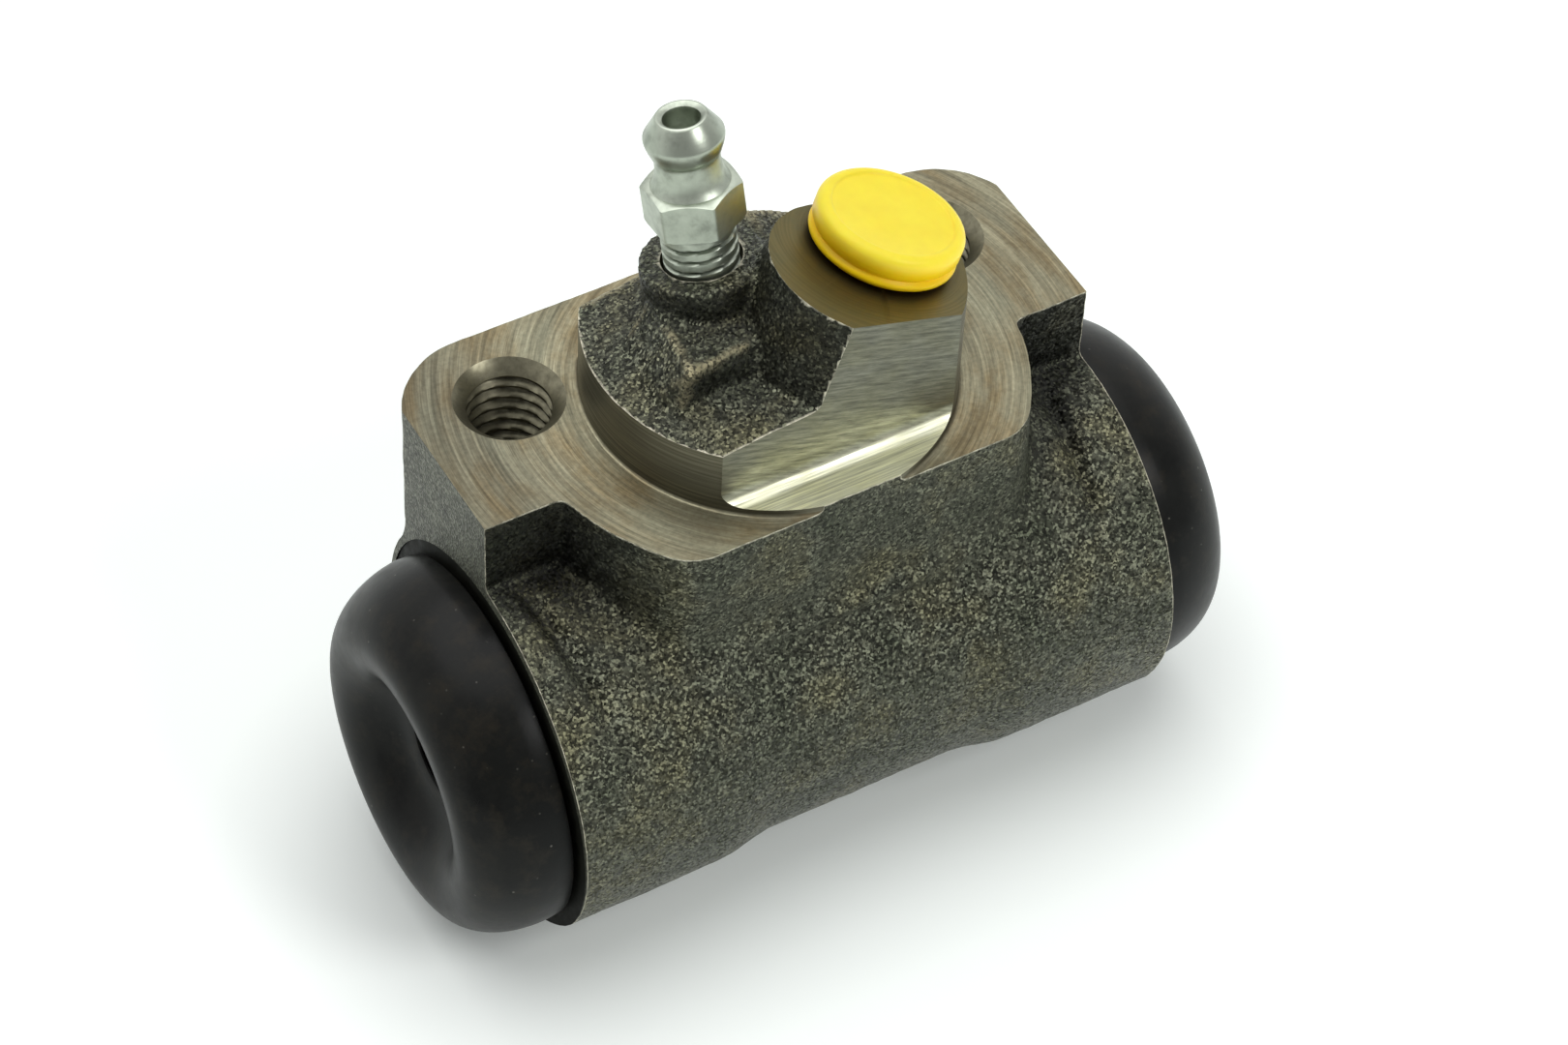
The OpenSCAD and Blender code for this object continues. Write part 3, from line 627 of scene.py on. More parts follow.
def bore_finish():
    """Turned necks and honed bore."""
    f = Finish("turned_iron")
    at = f.place((0, AXIS_Y, AXIS_Z), (0, math.pi / 2, 0))
    radius, turn, along = f.polar(at)
    lines = f.rings(f.math("ADD", radius, along), 4.0, turn, 1.0)
    f.set(Base_Color=f.tones(lines, colours().cut_iron, (0.3, 0.6), (0.5, 0.9), (0.75, 1.2)), Metallic=0.9)
    return f.surface(lines, 0.45, 0.3, 0.2, 0.05)


def tapped_finish():
    """Cut threads, with painted shade in their depth."""
    f = Finish("tapped_iron")
    at = f.place()
    cloud = f.noise(at, 1.2, 3.0, 0.6)
    metal = f.tones(cloud, colours().cut_iron, (0.3, 0.7), (0.5, 1.0), (0.75, 1.35))
    # Painted shade in the depth of the threads
    f.set(Base_Color=f.tinted(metal, f.shade_in_hollows(4, (0.1, 0.06), (0.7, 1.0))), Metallic=0.9)
    f.set(Roughness=f.ramp(cloud, (0.3, 0.42), (0.7, 0.3)))
    return f.material


def rubber_finish():
    """Moulded black rubber with a soft sheen, a little dust, and a lighter layer on the top and the end, partly dust
    and partly painted light.
    """
    f = Finish("boot_rubber")
    at = f.place()
    cloud = f.noise(at, 0.22, 5.0, 0.68)
    skin = f.noise(at, 3.5, 3.0, 0.6)
    dust = f.ramp(f.cells(at, 0.8)["Distance"], (0.05, 1.0), (0.1, 0.0))
    speck = f.times(dust, f.ramp(f.noise(at, 0.5, 2.0), (0.46, 0.0), (0.6, 0.8)), clamp=True)
    rubber = f.tones(cloud, colours().rubber, (0.3, 0.8), (0.7, 1.6))
    x, _, z = f.split(at)
    # A lighter layer on the end and the top, partly dust and partly painted light from above
    far = f.span(f.math("ABSOLUTE", x), 29.5, 33.5)
    high = f.span(z, -18.0, -9.0)
    dust_and_painted_light = f.times(f.math("MAXIMUM", far, high), f.ramp(cloud, (0.36, 0.1), (0.66, 1.0)), clamp=True)
    rubber = f.mix(dust_and_painted_light, rubber, (0.0105, 0.0106, 0.009, 1.0))
    stain = f.ramp(f.noise(at, 0.45, 5.0, 0.7), (0.5, 0.0), (0.68, 0.8))
    rubber = f.mix(stain, rubber, (0.0165, 0.014, 0.0098, 1.0))
    f.set(Base_Color=f.mix(speck, rubber, (0.12, 0.115, 0.1, 1.0)), Specular_IOR_Level=0.13)
    f.set(Roughness=f.ramp(cloud, (0.3, 0.27), (0.7, 0.42)), Normal=f.bump(skin, 0.12, 0.05))
    return f.material


def zinc_finish():
    """Bright zinc plate, faintly green, with fine turning lines and painted shade in its hollows."""
    f = Finish("zinc_plate")
    at = f.place(BLEEDER_FOOT, (-BLEEDER_LEAN, -BLEEDER_TILT, 0))
    _, turn, along = f.polar(at)
    lines = f.rings(along, 7.0, turn, 0.6, 2.0, 0.6)
    cloud = f.noise(at, 0.7, 4.0, 0.6)
    bead = f.ramp(f.math("SUBTRACT", along, BEAD_FOOT), (0.0, 1.0), (1.0, 0.92))
    plate = f.tinted(f.tones(cloud, colours().zinc, (0.3, 0.72), (0.5, 1.0), (0.75, 1.15)), bead)
    # Painted shade in the hollows under the hexagon and between the threads
    plate = f.tinted(plate, f.shade_in_hollows(1.0, (0.3, 0.45), (0.75, 1.0)))
    f.set(Base_Color=plate, Metallic=1.0)
    shine = f.ramp(f.math("SUBTRACT", along, BEAD_FOOT), (0.0, 1.0), (0.6, 0.8))
    rough = f.times(f.ramp(cloud, (0.3, 0.48), (0.7, 0.36)), shine)
    f.set(Roughness=rough, Normal=f.bump(lines, 0.2, 0.05))
    return f.material


def plastic_finish():
    """Soft yellow plastic, a little see-through at its edges, its top paler than its side, partly its own colour and
    partly a painted reflection.
    """
    f = Finish("plug_plastic")
    at = f.place(INLET_FOOT, (0, INLET_TILT, 0))
    cloud = f.noise(at, 0.3, 3.0, 0.6)
    skin = f.noise(at, 4.0, 2.0, 0.5)
    top = f.tones(cloud, colours().plastic, (0.3, 0.94), (0.7, 1.03))
    # The top is paler than the side, partly its own colour and partly a painted reflection
    height = f.math("SUBTRACT", f.split(at)[2], PLUG_FOOT)
    rise = f.span(height, 1.6, 2.9)
    f.set(Base_Color=f.mix(rise, (*colours().plastic_side, 1.0), top), Specular_IOR_Level=0.2)
    f.set(Subsurface_Weight=0.25, Subsurface_Radius=(0.004, 0.0022, 0.0004), Subsurface_Scale=0.4)
    return f.surface(skin, 0.34, 0.42, 0.04, 0.04)


def plain_finish(name, shade, metallic, rough, scale):
    """Finish of the pieces inside the bore."""
    f = Finish(name)
    at = f.place((0, AXIS_Y, AXIS_Z), (0, math.pi / 2, 0))
    radius, turn, along = f.polar(at)
    lines = f.rings(f.math("ADD", along, radius), scale, turn, 1.0, 3.0, 0.6)
    f.set(Base_Color=f.tones(lines, shade, (0.3, 0.75), (0.5, 1.0), (0.75, 1.2)), Metallic=metallic)
    return f.surface(lines, rough * 1.2, rough * 0.8, 0.15, 0.04)


# Casting


def leaning_back(bm):
    """Cuts the far side of a foot on the lean that the mould gives it."""
    return sliced(bm, (0, 15.6, -12.2), (0, 0.7071, -0.7071))


def ear(side):
    """Prism of one ear, with its far corner rounded and its foot leaning in."""
    far, near, end, corner = FLANGE_HALF, AXIS_Y, COLLAR_END + 0.5, 7.45
    outline = [(0, near), (end, near)] + arc((end - corner, far - corner), corner, 0, 90, 14) + [(0, far)]
    return leaning_back(prism([(side * x, y) for x, y in outline], FOOT_LOW, 0.8))


def corner_place(s):
    """Distance from the middle to the centre of a soft front corner of the pedestal."""
    corner = s["flange_corner"]
    return math.sqrt((s["flange_radius"] - corner) ** 2 - (FLANGE_HALF - corner) ** 2)


def pedestal(s):
    """Drafted pedestal under the mounting face: round sides, straight front and back, soft front corners."""
    r, half, corner, spread = s["flange_radius"], FLANGE_HALF, s["flange_corner"], 1.1
    across, low = corner_place(s), corner - half
    front = math.degrees(math.atan2(half - corner, across))
    back = math.degrees(math.asin(half / r))
    outline = arc((across, low), corner, -90, -front, 10) + arc((0, 0), r, -front, back, 40)
    outline += arc((0, 0), r, 180 - back, 180 + front, 40) + arc((-across, low), corner, 180 + front, 270, 10)
    made = prism(outline, FOOT_LOW, 3.0)
    foot = [vert for vert in made.verts if vert.co.z < 0]
    bmesh.ops.scale(made, vec=((r + spread) / r, 1, 1), verts=foot)
    bmesh.ops.remove_doubles(made, verts=made.verts, dist=1e-4)
    return leaning_back(made)


def foot_fillet(s):
    """Cast fillet that carries the near wall down into the barrel."""
    radius, wall = 4.0, -10.6
    reach = s["barrel_radius"] + radius
    across = wall - radius
    up = math.sqrt(reach ** 2 - across ** 2)
    touch = s["barrel_radius"] / reach
    start = math.degrees(math.atan2(-up, -across)) + 360
    curve = arc((across, up), radius, 360, start, 16)
    outline = [(wall + 1, up)] + curve + [(across * touch + 2.0, up * touch - 2.0), (wall + 1, up * touch - 1)]
    return laid(outline, corner_place(s), AXIS_Y, AXIS_Z)


def barrel(s):
    """Cast barrel with its waist, left long for the turned necks."""
    r, end, collar, waist = s["barrel_radius"], 34.0, 13.0, 9.5
    thin = r - s["waist_depth"]
    points = [(0, -end), (r, -end), (r, -collar), (thin, -waist), (thin, waist), (r, collar), (r, end), (0, end)]
    return moved(spun(points, 144), on_bore())


def head(s):
    """Cast head round the two ports, before the pilot is turned."""
    raw = s["pilot_radius"] + 1.2
    roof = spun([(0, -1), (raw, -1), (raw, 5.8), (10.0, 7.3), (0, 7.3)], 96)
    block = hulled([(-10.2, -5.3, 10.1), (-2.0, -4.3, 10.1), (4.5, -3.0, 10.1), (4.5, 3.2, 10.1), (-9.2, 3.2, 10.1),
                    (-11.9, -6.2, 5.6), (-13.6, -2.5, 5.0), (-13.2, 2.5, 5.0), (-9.6, -5.9, 4.5), (4.5, -5.9, 4.5),
                    (4.5, 4.5, 4.5)])
    slope = ((-4.4, -1), (-4.4, 9.6), (2.4, 9.9), (4.9, 8.7), (9, 6.5), (9, -1))
    web = hulled([(x, y, z) for y in (-2.0, 8.5) for x, z in slope])
    shoulder = hulled([(x, y, z) for x in (5, 16) for y, z in ((-13, 0), (-13, 12), (2, 12), (2, 0))])
    inlet = spun([(0, 1), (8.2, 1), (8.2, SPOT_FACE + 1.0), (0, SPOT_FACE + 1.0)], 72)
    moved(inlet, on_inlet() @ Matrix.Translation((-2.35, -2.35, 0)))
    bleeder = spun([(0, 12), (5.1, 12), (5.0, BOSS_TOP), (0, BOSS_TOP)], 72)
    moved(bleeder, on_bleeder())
    parts = [roof, block, web, shoulder, inlet, bleeder]
    parts = [sliced(part, (0, HEAD_BACK, 0), (0, 1, 0)) for part in parts]
    return [sliced(part, (0, -FLANGE_HALF, 0), (0, -1, 0)) for part in parts]


def round_creases(bm, s):
    """Smooths the cast skin, most where the pedestal meets the barrel."""
    smoothed(bm, bm.verts, 2)
    near, reach = [], 3.6
    for vert in bm.verts:
        x, y, z = vert.co
        from_barrel = math.hypot(y - AXIS_Y, z - AXIS_Z) - s["barrel_radius"]
        from_pedestal = math.hypot(x, y) - s["flange_radius"]
        if z < -2.0 and y < AXIS_Y - 0.8 and abs(from_barrel) < reach and -4.0 < from_pedestal < reach:
            near.append(vert)
    front = [vert for vert in near if vert.co.y < AXIS_Y - 3.0]
    smoothed(bm, near, 8)
    smoothed(bm, front, 24)


def press_valleys(bm, s):
    """Presses the shallow valleys where the pedestal's foot runs out into the collars; turns are in degrees."""
    first, last, width = 2, 60, 0.75
    for vert in bm.verts:
        x, y, z = vert.co
        across, up = AXIS_Y - y, z - AXIS_Z
        turn = math.degrees(math.atan2(across, up))
        if not first < turn < last or abs(math.hypot(across, up) - s["barrel_radius"]) > 1.5:
            continue
        line = -24.7 + 0.04 * turn if x < 0 else 22.5 - 0.012 * turn
        share = min(1.0, (turn - first) / 8, (last - turn) / 18)
        depth = s["valley_depth"] * share * math.exp(-((x - line) / width) ** 2)
        vert.co.y += depth * math.sin(math.radians(turn))
        vert.co.z -= depth * math.cos(math.radians(turn))


def roughen(bm, height):
    """Presses the sand's grain into the skin."""
    bm.normal_update()
    for vert in bm.verts:
        fine = noise.noise(vert.co * 1.1)
        wide = noise.noise(vert.co * 0.35)
        vert.co += vert.normal * height * (fine + 1.2 * wide)


def raw_casting(s, materials):
    """The casting as it leaves the mould."""
    parts = [barrel(s), pedestal(s), ear(1), ear(-1), foot_fillet(s), *head(s)]
    made = scratch(merged(parts), "cylinder_casting", materials, CAST)
    step = made.modifiers.new("skin", "REMESH")
    step.mode = "VOXEL"
    step.voxel_size = s["skin_cell"]
    baked(made)
    bm = bmesh.new()
    bm.from_mesh(made.data)
    round_creases(bm, s)
    press_valleys(bm, s)
    roughen(bm, s["grain_height"])
    bm.to_mesh(made.data)
    bm.free()
    made.data.materials.clear()
    for material in materials:
        made.data.materials.append(material)
    return made


def facing_cut(s, materials):
    """Lathe cut that leaves the mounting face and the pilot."""
    r, nose = s["pilot_radius"], 0.3
    ring = spun(arc((r + nose, nose), nose, 180, 270, 4) + [(60, 0), (60, 40), (r, 40)], 192, closed=True)
    return scratch(ring, "facing_cut", materials, lambda p: FACED if abs(p.normal.z) > 0.3 else PILOT)


def ledge_cut(s, materials):
    """Cut that takes the ledge behind the head down to the mounting face."""
    r = s["pilot_radius"] + 0.3
    made = prism([(-r, HEAD_BACK), (r, HEAD_BACK), (r, 20), (-r, 20)], 0, 40)
    return scratch(made, "ledge_cut", materials, lambda p: FACED if abs(p.normal.z) > 0.5 else CAST)


def flat_cut(materials):
    """Milling cut beside the inlet, with the cutter's corner radius."""
    wall, floor, corner = -10.8, 0.7, 1.3
    outline = [(-30, floor)] + arc((wall - corner, floor + corner), corner, -90, 0, 12) + [(wall, 40), (-30, 40)]
    return scratch(laid(outline, 20), "flat_cut", materials, MILLED)


def spot_cut(materials):
    """Spot facing square to the inlet's axis."""
    r, top = 24.6, SPOT_FACE + 24
    made = spun([(0, SPOT_FACE), (r, SPOT_FACE), (r, top), (0, top)], 96)
    return scratch(moved(made, on_inlet()), "spot_cut", materials, SPOT)


def end_cut(side, materials):
    """Turning of one end: the end face, the neck and its groove."""
    neck, groove, lip = 13.0, 12.4, 14.6
    points = [(0, NECK_END), (neck - 0.5, NECK_END), (neck, NECK_END - 0.5), (neck, 30.15), (groove, 30.15)]
    points += [(groove, 28.95), (neck, 28.95), (neck, COLLAR_END), (lip, COLLAR_END), (60, COLLAR_END)]
    points += [(60, 60), (0, 60)]

    def kind(polygon):
        x, y, z = polygon.center
        if abs(x) < COLLAR_END + 0.05 and math.hypot(y - AXIS_Y, z - AXIS_Z) > lip:
            return ENDS
        return RING if abs(x) < 30.5 else TURNED

    return scratch(moved(spun(points, 144), on_bore(side)), "end_cut", materials, kind)


def ring_cut(side, materials):
    """Shallow ring behind a boot, a little low on the bore's axis."""
    made = spun([(13.9, 27.1), (16.7, 27.1), (16.7, 30.0), (13.9, 30.0)], 144, closed=True)
    moved(made, Matrix.Translation((0, 0, -0.6)) @ on_bore(side))
    return scratch(made, "ring_cut", materials, RING)


def bore_cut(s, materials):
    """Honed bore with broken edges."""
    r, end, chamfer = s["bore_radius"], NECK_END, 0.5
    points = [(0, -end - 1), (r + chamfer + 1, -end - 1), (r, chamfer - end), (r, end - chamfer),
              (r + chamfer + 1, end + 1), (0, end + 1)]
    return scratch(moved(spun(points, 128), on_bore()), "bore_cut", materials, TURNED)


def hole_cut(side, s, materials):
    """Tapped mounting hole with its countersink and thread."""
    tap, crest, sink, depth = 3.4, 4.0, 4.5, 12.0
    low, high = 0.4 - depth, -1.1
    points = [(0, -depth - 2.0), (tap, -depth)] + rows(crest, low, high, 0.11)
    points += [(tap + 0.02, -1.06), (sink, 0), (sink, 2), (0, 2)]
    made = threaded(spun(points, 80), 1.25, crest, crest - tap, low, high, tap=True)
    moved(made, Matrix.Translation((side * s["hole_spacing"] / 2, HOLE_Y, 0)))
    return scratch(made, "hole_cut", materials, lambda p: SINK if p.center.z > -1.0 else TAPPED)


def inlet_cut(materials):
    """Tapped inlet with its pipe seat and passage."""
    crest, low, high = 4.85, 16.4, 26.2
    points = [(0, -3.7), (1.5, -3.7), (1.5, 14.7), (3.3, 14.7), (4.5, 15.9)] + rows(crest, low, high, 0.11)
    points += [(5.2, SPOT_FACE), (5.2, SPOT_FACE + 1), (0, SPOT_FACE + 1)]
    made = threaded(spun(points, 72), 1.0, crest, 0.4, low, high, tap=True)
    return scratch(moved(made, on_inlet()), "inlet_cut", materials, TAPPED)


def bleeder_cut(materials):
    """Bleeder port with its seat, passage and opened mouth."""
    seat = BOSS_TOP - 11.4
    points = [(0, 8.9), (1.0, 8.9), (1.0, seat - 2.0), (3.04, seat), (3.04, BOSS_TOP - 0.6), (3.25, BOSS_TOP - 0.3),
              (3.25, BOSS_TOP + 2), (0, BOSS_TOP + 2)]
    return scratch(moved(spun(points, 64), on_bleeder()), "bleeder_cut", materials, TAPPED)


def mark_rims(mesh):
    """Marks the cast points along a machined edge, for the bright burr, and the ridges of the skin, for their wear
    and a painted highlight.
    """
    bm = bmesh.new()
    bm.from_mesh(mesh)
    bm.normal_update()
    rim = bm.verts.layers.float.new("rim")
    wear_and_highlight = bm.verts.layers.float.new("wear_and_highlight")
    low, high, least, more = 6.0, 10.9, 0.006, 0.018
    for edge in bm.edges:
        kinds = {face.material_index for face in edge.link_faces}
        if len(kinds) > 1 and CAST in kinds:
            for vert in edge.verts:
                vert[rim] = 1.0
    bulge = {}
    for vert in bm.verts:
        around = [edge.other_vert(vert).co for edge in vert.link_edges]
        if not low < vert.co.z < high or any(face.material_index != CAST for face in vert.link_faces):
            continue
        middle = sum(around, Vector()) / len(around)
        bulge[vert] = (vert.co - middle).dot(vert.normal)
    for _ in range(2):
        bulge = {vert: (own + sum(bulge.get(edge.other_vert(vert), 0.0) for edge in vert.link_edges))
                 / (1 + len(vert.link_edges)) for vert, own in bulge.items()}
    for vert, own in bulge.items():
        vert[wear_and_highlight] = min(1.0, max(0.0, (own - least) / more))
    bm.to_mesh(mesh)
    bm.free()


class WHEELCYL_OT_casting(bpy.types.Operator):
    """Builds the cast body, cuts its machined faces, threads and bore"""

    bl_idname = "wheelcyl.casting"
    bl_label = "Cylinder Casting"

    def execute(self, context):
        s = sizes()
        materials = [cast_finish(), faced_finish(), pilot_finish(), milled_finish(), spot_finish(), bore_finish(),
                     tapped_finish(), end_finish(), sink_finish(), oiled_and_shaded_end_finish()]
        made = raw_casting(s, materials)
        both = (1, -1)
        cuts = [facing_cut(s, materials), ledge_cut(s, materials), flat_cut(materials), spot_cut(materials)]
        cuts += [end_cut(side, materials) for side in both] + [ring_cut(side, materials) for side in both]
        cuts += [bore_cut(s, materials)] + [hole_cut(side, s, materials) for side in both]
        cuts += [inlet_cut(materials), bleeder_cut(materials)]
        for cut in cuts:
            joined(made, cut, "DIFFERENCE")
        mark_rims(made.data)
        finished(made, "casting", "casting", "cylinder_body", sharp=40.0)
        return {"FINISHED"}


# Boots


def boot_outline(s):
    """Section of a boot as (radius, distance): skirt, crown, dish and opening, and back inside to the bead."""
    outer, crest, start = s["boot_radius"], s["boot_crest"], 27.5
    ridge, low, roll, wall, grip, groove = 11.1, 28.5, 4.7, 1.4, 13.03, 12.43

    def crown(thin, first, last, steps):
        width, height = outer - ridge - thin, crest - low - thin
        return [(ridge + width * r, low + height * d) for r, d in arc((0, 0), 1, first, last, steps)]

    skirt = [(grip, start + 0.3), (13.4, start), (outer - 0.45, start), (outer - 0.08, start + 0.2)]
    dish = arc((ridge, crest - roll), roll, 95, 140, 9)
    dish += [(6.8, 33.02), (6.2, 32.5), (5.6, 32.15), (5.0, 31.95), (4.5, 31.85), (4.2, 31.7), (4.25, 31.5)]
    inside = [(4.6, 31.4), (5.3, 31.45), (6.3, 31.55), (7.2, 31.85), (7.9, 32.3)]
    inside += arc((ridge, crest - roll), roll - wall, 138, 95, 8)
    neck = [(grip, 31.3), (grip, 30.12), (groove, 30.12), (groove, 28.98), (grip, 28.98)]
    return skirt + crown(0, 4, 90, 22) + dish + inside + crown(wall, 90, 31, 12) + neck


def droop(bm, skirt, crown):
    """Lets the free part of a boot hang down on its bead, its crown more than its skirt."""
    bead, inner, foot, rise = 13.2, 31.35, 28.5, 6
    for vert in bm.verts:
        x, y, z = vert.co
        if math.hypot(y - AXIS_Y, z - AXIS_Z) > bead or abs(x) > inner:
            vert.co.z -= skirt + (crown - skirt) * min(1.0, max(0.0, (abs(x) - foot) / rise))
    return bm


class WHEELCYL_OT_boots(bpy.types.Operator):
    """Builds the two rubber dust boots"""

    bl_idname = "wheelcyl.boots"
    bl_label = "Dust Boots"

    def execute(self, context):
        s = sizes()
        rubber = rubber_finish()
        for side, name in ((-1, "left"), (1, "right")):
            shape = droop(moved(spun(boot_outline(s), 128, closed=True), on_bore(side)), s["skirt_droop"],
                          s["crown_droop"])
            made = scratch(shape, f"boot_{name}", [rubber], 0)
            finished(made, None, "boot", f"dust_boot_{name}")
            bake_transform(made)
        return {"FINISHED"}


# Bleeder screw


class WHEELCYL_OT_bleeder(bpy.types.Operator):
    """Builds the zinc-plated bleeder screw with its thread, hexagon and hose nipple"""

    bl_idname = "wheelcyl.bleeder"
    bl_label = "Bleeder Screw"

    def execute(self, context):
        zinc = zinc_finish()
        seat, hex_at, hex_end, top = 25.08, BOSS_TOP + 3.8, BOSS_TOP + 7.2, BOSS_TOP + 13.3
        crest, thread_start, thread_end = 2.98, seat + 3.8, hex_at - 0.6
        points = [(0, seat - 1.2), (1.0, seat - 1.2), (2.2, seat), (2.2, seat + 3.0)]
        points += rows(crest, thread_start, thread_end, 0.1)
        points += [(2.88, thread_end + 0.2), (2.88, hex_at + 0.1), (3.2, hex_at + 0.2), (3.2, hex_end - 0.1)]
        flare = [(3.05, 0.12), (2.88, 0.35), (2.74, 0.7), (2.64, 1.2), (2.58, 1.8), (2.56, 2.3), (2.58, 2.6)]
        points += [(r, hex_end + d) for r, d in flare]
        bead = [(2.62, 3.42), (2.72, 3.34), (2.87, 2.95), (3.02, 2.55), (3.13, 2.15), (3.17, 1.85), (3.14, 1.62),
                (2.15, 0.2), (2.04, 0.05), (1.94, 0.0), (1.8, 0.02), (1.5, 0.28), (1.42, 0.6), (1.42, 1.6),
                (0.9, 2.4)]
        points += [(r, top - d) for r, d in bead] + [(0.9, seat), (0, seat)]
        rod = threaded(spun(points, 80), 1.0, crest, 0.36, thread_start, thread_end)
        made = scratch(moved(rod, on_bleeder()), "bleeder", [zinc], 0)
        hexagon, corner = bmesh.new(), 7 / math.sqrt(3)
        bmesh.ops.create_cone(hexagon, cap_ends=True, segments=6, radius1=corner, radius2=corner,
                              depth=hex_end - hex_at)
        uprights = [e for e in hexagon.edges if abs(e.verts[0].co.z - e.verts[1].co.z) > 1]
        bmesh.ops.bevel(hexagon, geom=uprights, offset=0.18, segments=2, profile=0.5, affect="EDGES", material=-1)
        moved(hexagon, on_bleeder((hex_at + hex_end) / 2) @ Matrix.Rotation(math.radians(57), 4, "Z"))
        nut = scratch(hexagon, "hexagon", [zinc], 0)
        limit = [(0, hex_at), (3.75, hex_at), (4.6, hex_at + 0.5), (4.6, hex_end - 0.75), (3.4, hex_end)]
        limit.append((0, hex_end))
        joined(nut, scratch(moved(spun(limit, 72), on_bleeder()), "hexagon_limit", [zinc], 0), "INTERSECT")
        joined(made, nut, "UNION")
        finished(made, "bleeder", "zinc_steel", "bleeder_screw")
        return {"FINISHED"}


# Plug


class WHEELCYL_OT_plug(bpy.types.Operator):
    """Builds the yellow transport plug in the inlet"""

    bl_idname = "wheelcyl.plug"
    bl_label = "Inlet Plug"

    def execute(self, context):
        r, foot, top = sizes()["plug_radius"], PLUG_FOOT, PLUG_FOOT + 3.1
        stem, wall, tip = 4.46, 1.2, foot - 7.0
        points = [(0, foot + 0.2), (stem - wall - 0.3, foot + 0.1), (stem - wall, foot - 0.3), (stem - wall, tip),
                  (stem - 0.5, tip), (stem - 0.3, tip + 0.3), (stem, tip + 3.5), (stem, foot), (r - 0.5, foot)]
        points += arc((r - 0.45, foot + 0.45), 0.45, -80, 20, 5)
        points += [(r - 0.16, foot + 0.72), (r - 0.32, foot + 0.9), (r - 0.22, foot + 1.12)]
        points += [(r, foot + 1.4), (r, top - 0.75)] + arc((r - 0.75, top - 0.75), 0.75, 10, 85, 7)
        points += [(r - 0.95, top), (r - 1.02, top - 0.06), (r - 1.08, top - 0.17), (r - 1.2, top - 0.2)]
        points += [(2.0, top - 0.2), (0, top - 0.2)]
        made = scratch(moved(spun(points, 96), on_inlet()), "plug", [plastic_finish()], 0)
        finished(made, "plug", "plug", "inlet_plug", sharp=50.0)
        return {"FINISHED"}


# Inside of the bore


class WHEELCYL_OT_inside(bpy.types.Operator):
    """Builds the spring's halves and finishes the pistons, cups and expanders"""

    bl_idname = "wheelcyl.inside"
    bl_label = "Bore Pieces"

    def execute(self, context):
        alloy = plain_finish("piston_alloy", (0.5, 0.51, 0.52), 1.0, 0.32, 4.0)
        seal = plain_finish("seal_rubber", (0.015, 0.015, 0.016), 0.0, 0.5, 2.0)
        pressed = plain_finish("pressed_steel", (0.42, 0.42, 0.43), 1.0, 0.35, 3.0)
        wire = plain_finish("spring_wire", (0.38, 0.39, 0.41), 1.0, 0.3, 5.0)
        for side in ("left", "right"):
            for kind, finish in (("piston", alloy), ("cup_seal", seal), ("cup_expander", pressed)):
                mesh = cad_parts[f"{kind}_{side}"].data
                mesh.materials.clear()
                mesh.materials.append(finish)
        for side, name in ((-1, "left"), (1, "right")):
            self.half_spring(side, name, wire)
        return {"FINISHED"}

    def half_spring(self, side, name, wire):
        """Half of the spring."""
        coil, thick, reach, turns, steps = 4.75, 0.55, 11.2, 2.5, 120
        bm = bmesh.new()
        ring = bmesh.ops.create_circle(bm, cap_ends=True, segments=12, radius=thick)["verts"]
        stand = Matrix.Translation((coil, 0, 0)) @ Matrix.Rotation(math.pi / 2, 4, "X")
        bmesh.ops.transform(bm, matrix=stand, verts=ring)
        bmesh.ops.spin(bm, geom=bm.verts[:] + bm.edges[:] + bm.faces[:], cent=(0, 0, 0), axis=(0, 0, 1),
                       dvec=(0, 0, reach / steps), angle=TURN * turns, steps=steps, use_merge=False,
                       use_duplicate=False)
        bmesh.ops.recalc_face_normals(bm, faces=bm.faces)
        made = scratch(moved(bm, on_bore(side)), f"spring_{name}", [wire], 0)
        finished(made, None, "spring_steel", "return_spring")
        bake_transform(made)


# Stage


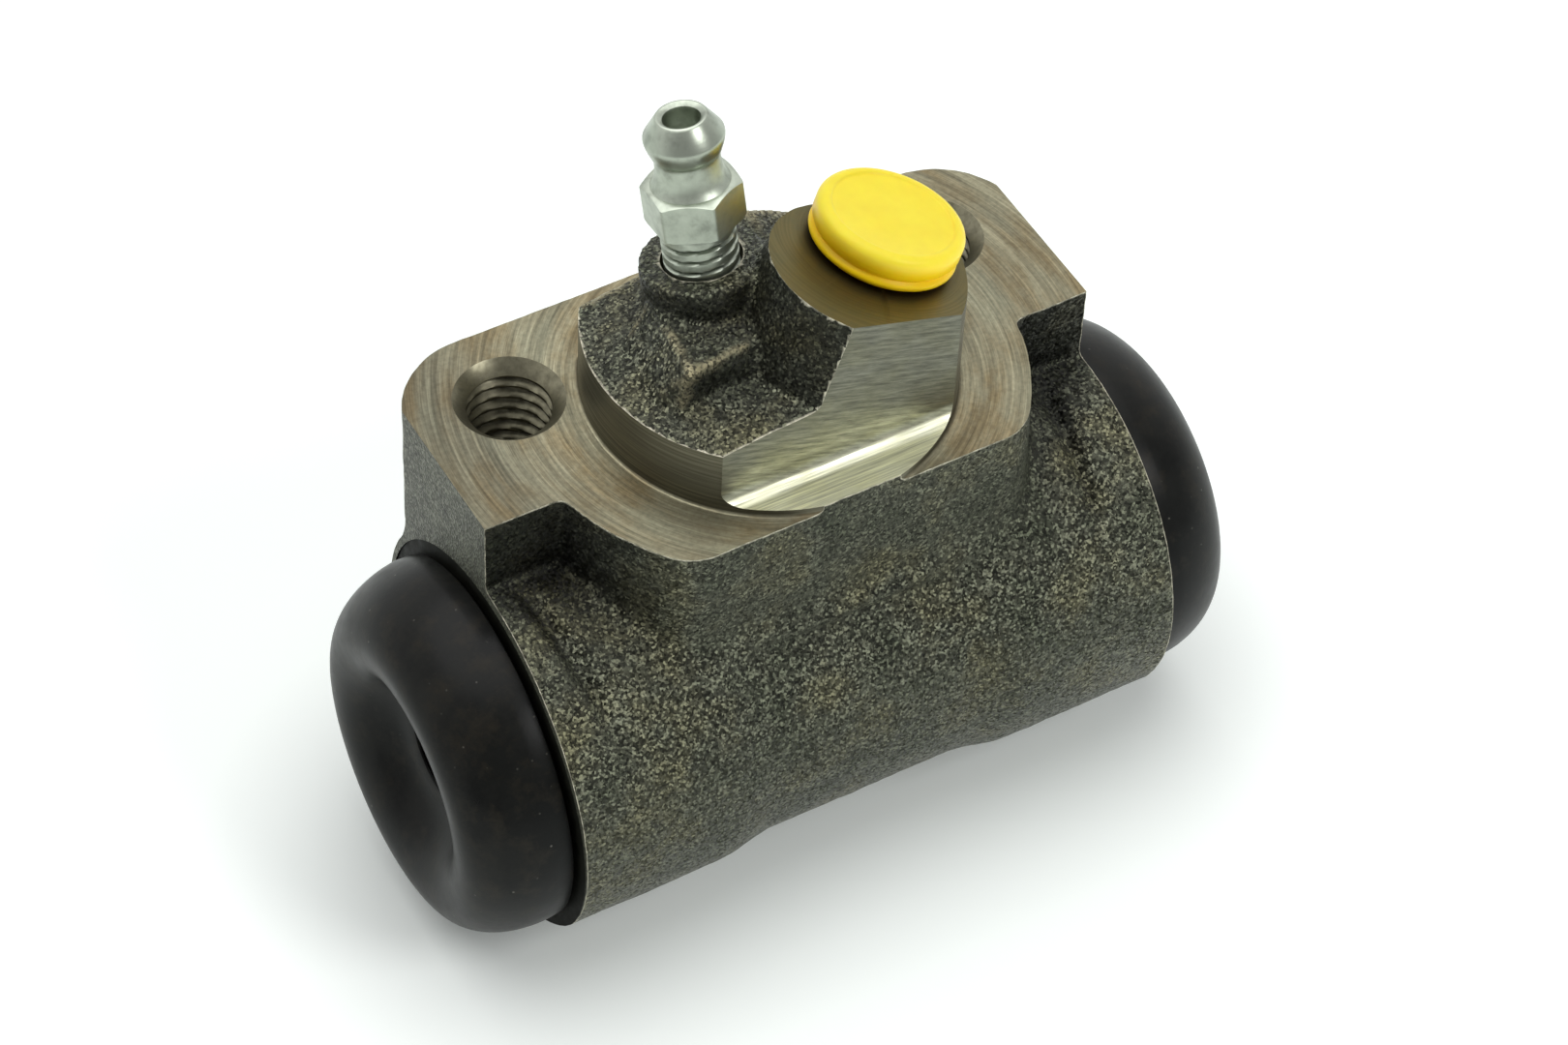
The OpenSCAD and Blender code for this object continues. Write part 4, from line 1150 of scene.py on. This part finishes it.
class WHEELCYL_OT_stage(bpy.types.Operator):
    """Sets the floor, the lamps, the backdrop and the camera"""

    bl_idname = "wheelcyl.stage"
    bl_label = "Stage"

    def execute(self, context):
        self.floor()
        self.backdrop(context.scene)
        self.lamp("key", (-0.03, 0.2, 0.68), 1.1, 5.5)
        self.lamp("front", (0.26, -0.45, 0.48), 0.28, 1.7)
        self.camera(context.scene)
        context.scene.view_settings.view_transform = "Standard"
        return {"FINISHED"}

    def floor(self):
        """Pale paper that glows by one amount as seen, less beside the part as a painted shadow, and by another as
        painted bounce light on the part, also less beside it.
        """
        bm = bmesh.new()
        bmesh.ops.create_grid(bm, x_segments=8, y_segments=8, size=FLOOR_HALF)
        bmesh.ops.translate(bm, vec=(0, 0, FLOOR_Z), verts=bm.verts)
        f = Finish("paper_floor")
        at = f.place()
        cloud = f.noise(at, 0.01, 2.0)
        f.set(Base_Color=f.ramp(cloud, (0.3, (0.79, 0.82, 0.8)), (0.7, (0.81, 0.84, 0.82))))
        f.set(Roughness=0.9, Specular_IOR_Level=0.1)
        # The glow as light on the part is painted bounce light, less beside the part
        bounce = f.span(f.polar(at)[0], 30.0, 95.0, 0.15, 1.3)
        # The glow as seen is lower beside the part: a painted shadow on the floor
        x, y, _ = f.split(f.place((0, AXIS_Y, 0)))
        beyond = f.math("MAXIMUM", f.math("SUBTRACT", f.math("ABSOLUTE", x), 24.0), 0.0)
        paper = f.span(f.polar(f.join(beyond, y, 0.0))[0], 9.0, 27.0, 0.18, 0.44)
        glow = f.span(f.shown(), 0.0, 1.0, bounce, paper)
        f.set(Emission_Color=(0.95, 1.0, 0.97, 1), Emission_Strength=glow)
        made = scratch(bm, "floor", [f.material], 0)
        made.data.transform(Matrix.Scale(MM, 4))

    def backdrop(self, scene):
        """White to the camera and in reflections, dimmer in those of the near side, and a low level as light."""
        world = bpy.data.worlds.new("white_backdrop")
        scene.world = world
        world.use_nodes = True
        w = Nodes(world.node_tree)
        toward = w.split(w.node("ShaderNodeTexCoord").outputs["Generated"])[1]
        seen = w.shown(w.span(toward, -0.5, 0.3, 0.4, 1.0))
        back = w.tree.nodes["Background"].inputs
        w.feed(back["Color"], WHITE)
        w.feed(back["Strength"], w.math("MAXIMUM", seen, 0.06))

    def lamp(self, name, place, size, power):
        """A round soft lamp that points at the part's middle."""
        light = bpy.data.lights.new(name, "AREA")
        light.shape = "DISK"
        light.size = size
        light.energy = power
        made = bpy.data.objects.new(name, light)
        made.location = place
        aim = Vector((0, 0, -0.015)) - Vector(place)
        made.rotation_euler = aim.to_track_quat("-Z", "Y").to_euler()
        bpy.context.scene.collection.objects.link(made)

    def camera(self, scene):
        """The photograph's viewpoint."""
        eye = bpy.data.cameras.new("camera")
        eye.sensor_width = 36.0
        eye.lens = 108.073
        eye.clip_start = 0.01
        made = bpy.data.objects.new("camera", eye)
        right, up = (0.865649, -0.499029, 0.040277), (0.350448, 0.661427, 0.663099)
        back, place = (-0.357546, -0.559896, 0.747447), (-0.1356125, -0.2159991, 0.2695294)
        made.matrix_world = Matrix.Translation(place) @ Matrix((right, up, back)).transposed().to_4x4()
        scene.collection.objects.link(made)
        scene.camera = made


OPERATORS = (WHEELCYL_OT_casting, WHEELCYL_OT_boots, WHEELCYL_OT_bleeder, WHEELCYL_OT_plug, WHEELCYL_OT_inside,
             WHEELCYL_OT_stage)


class WHEELCYL_PT_panel(bpy.types.Panel):
    """Lists the pieces of the wheel cylinder"""

    bl_idname = "WHEELCYL_PT_panel"
    bl_label = "Wheel Cylinder"
    bl_space_type = "VIEW_3D"
    bl_region_type = "UI"
    bl_category = "Wheel Cylinder"

    def draw(self, context):
        for group in (context.scene.wheel_cylinder_sizes, context.scene.wheel_cylinder_colours):
            for key in group.__annotations__:
                self.layout.prop(group, key)
        for operator in OPERATORS:
            self.layout.operator(operator.bl_idname)


CLASSES = (WheelCylinderSizes, WheelCylinderColours, *OPERATORS, WHEELCYL_PT_panel)


def register():
    for item in CLASSES:
        bpy.utils.register_class(item)
    bpy.types.Scene.wheel_cylinder_sizes = PointerProperty(type=WheelCylinderSizes)
    bpy.types.Scene.wheel_cylinder_colours = PointerProperty(type=WheelCylinderColours)


def unregister():
    del bpy.types.Scene.wheel_cylinder_colours
    del bpy.types.Scene.wheel_cylinder_sizes
    for item in reversed(CLASSES):
        bpy.utils.unregister_class(item)


def main():
    register()
    bpy.ops.wheelcyl.casting()
    bpy.ops.wheelcyl.boots()
    bpy.ops.wheelcyl.bleeder()
    bpy.ops.wheelcyl.plug()
    bpy.ops.wheelcyl.inside()
    bpy.ops.wheelcyl.stage()


if __name__ == "__main__":
    main()
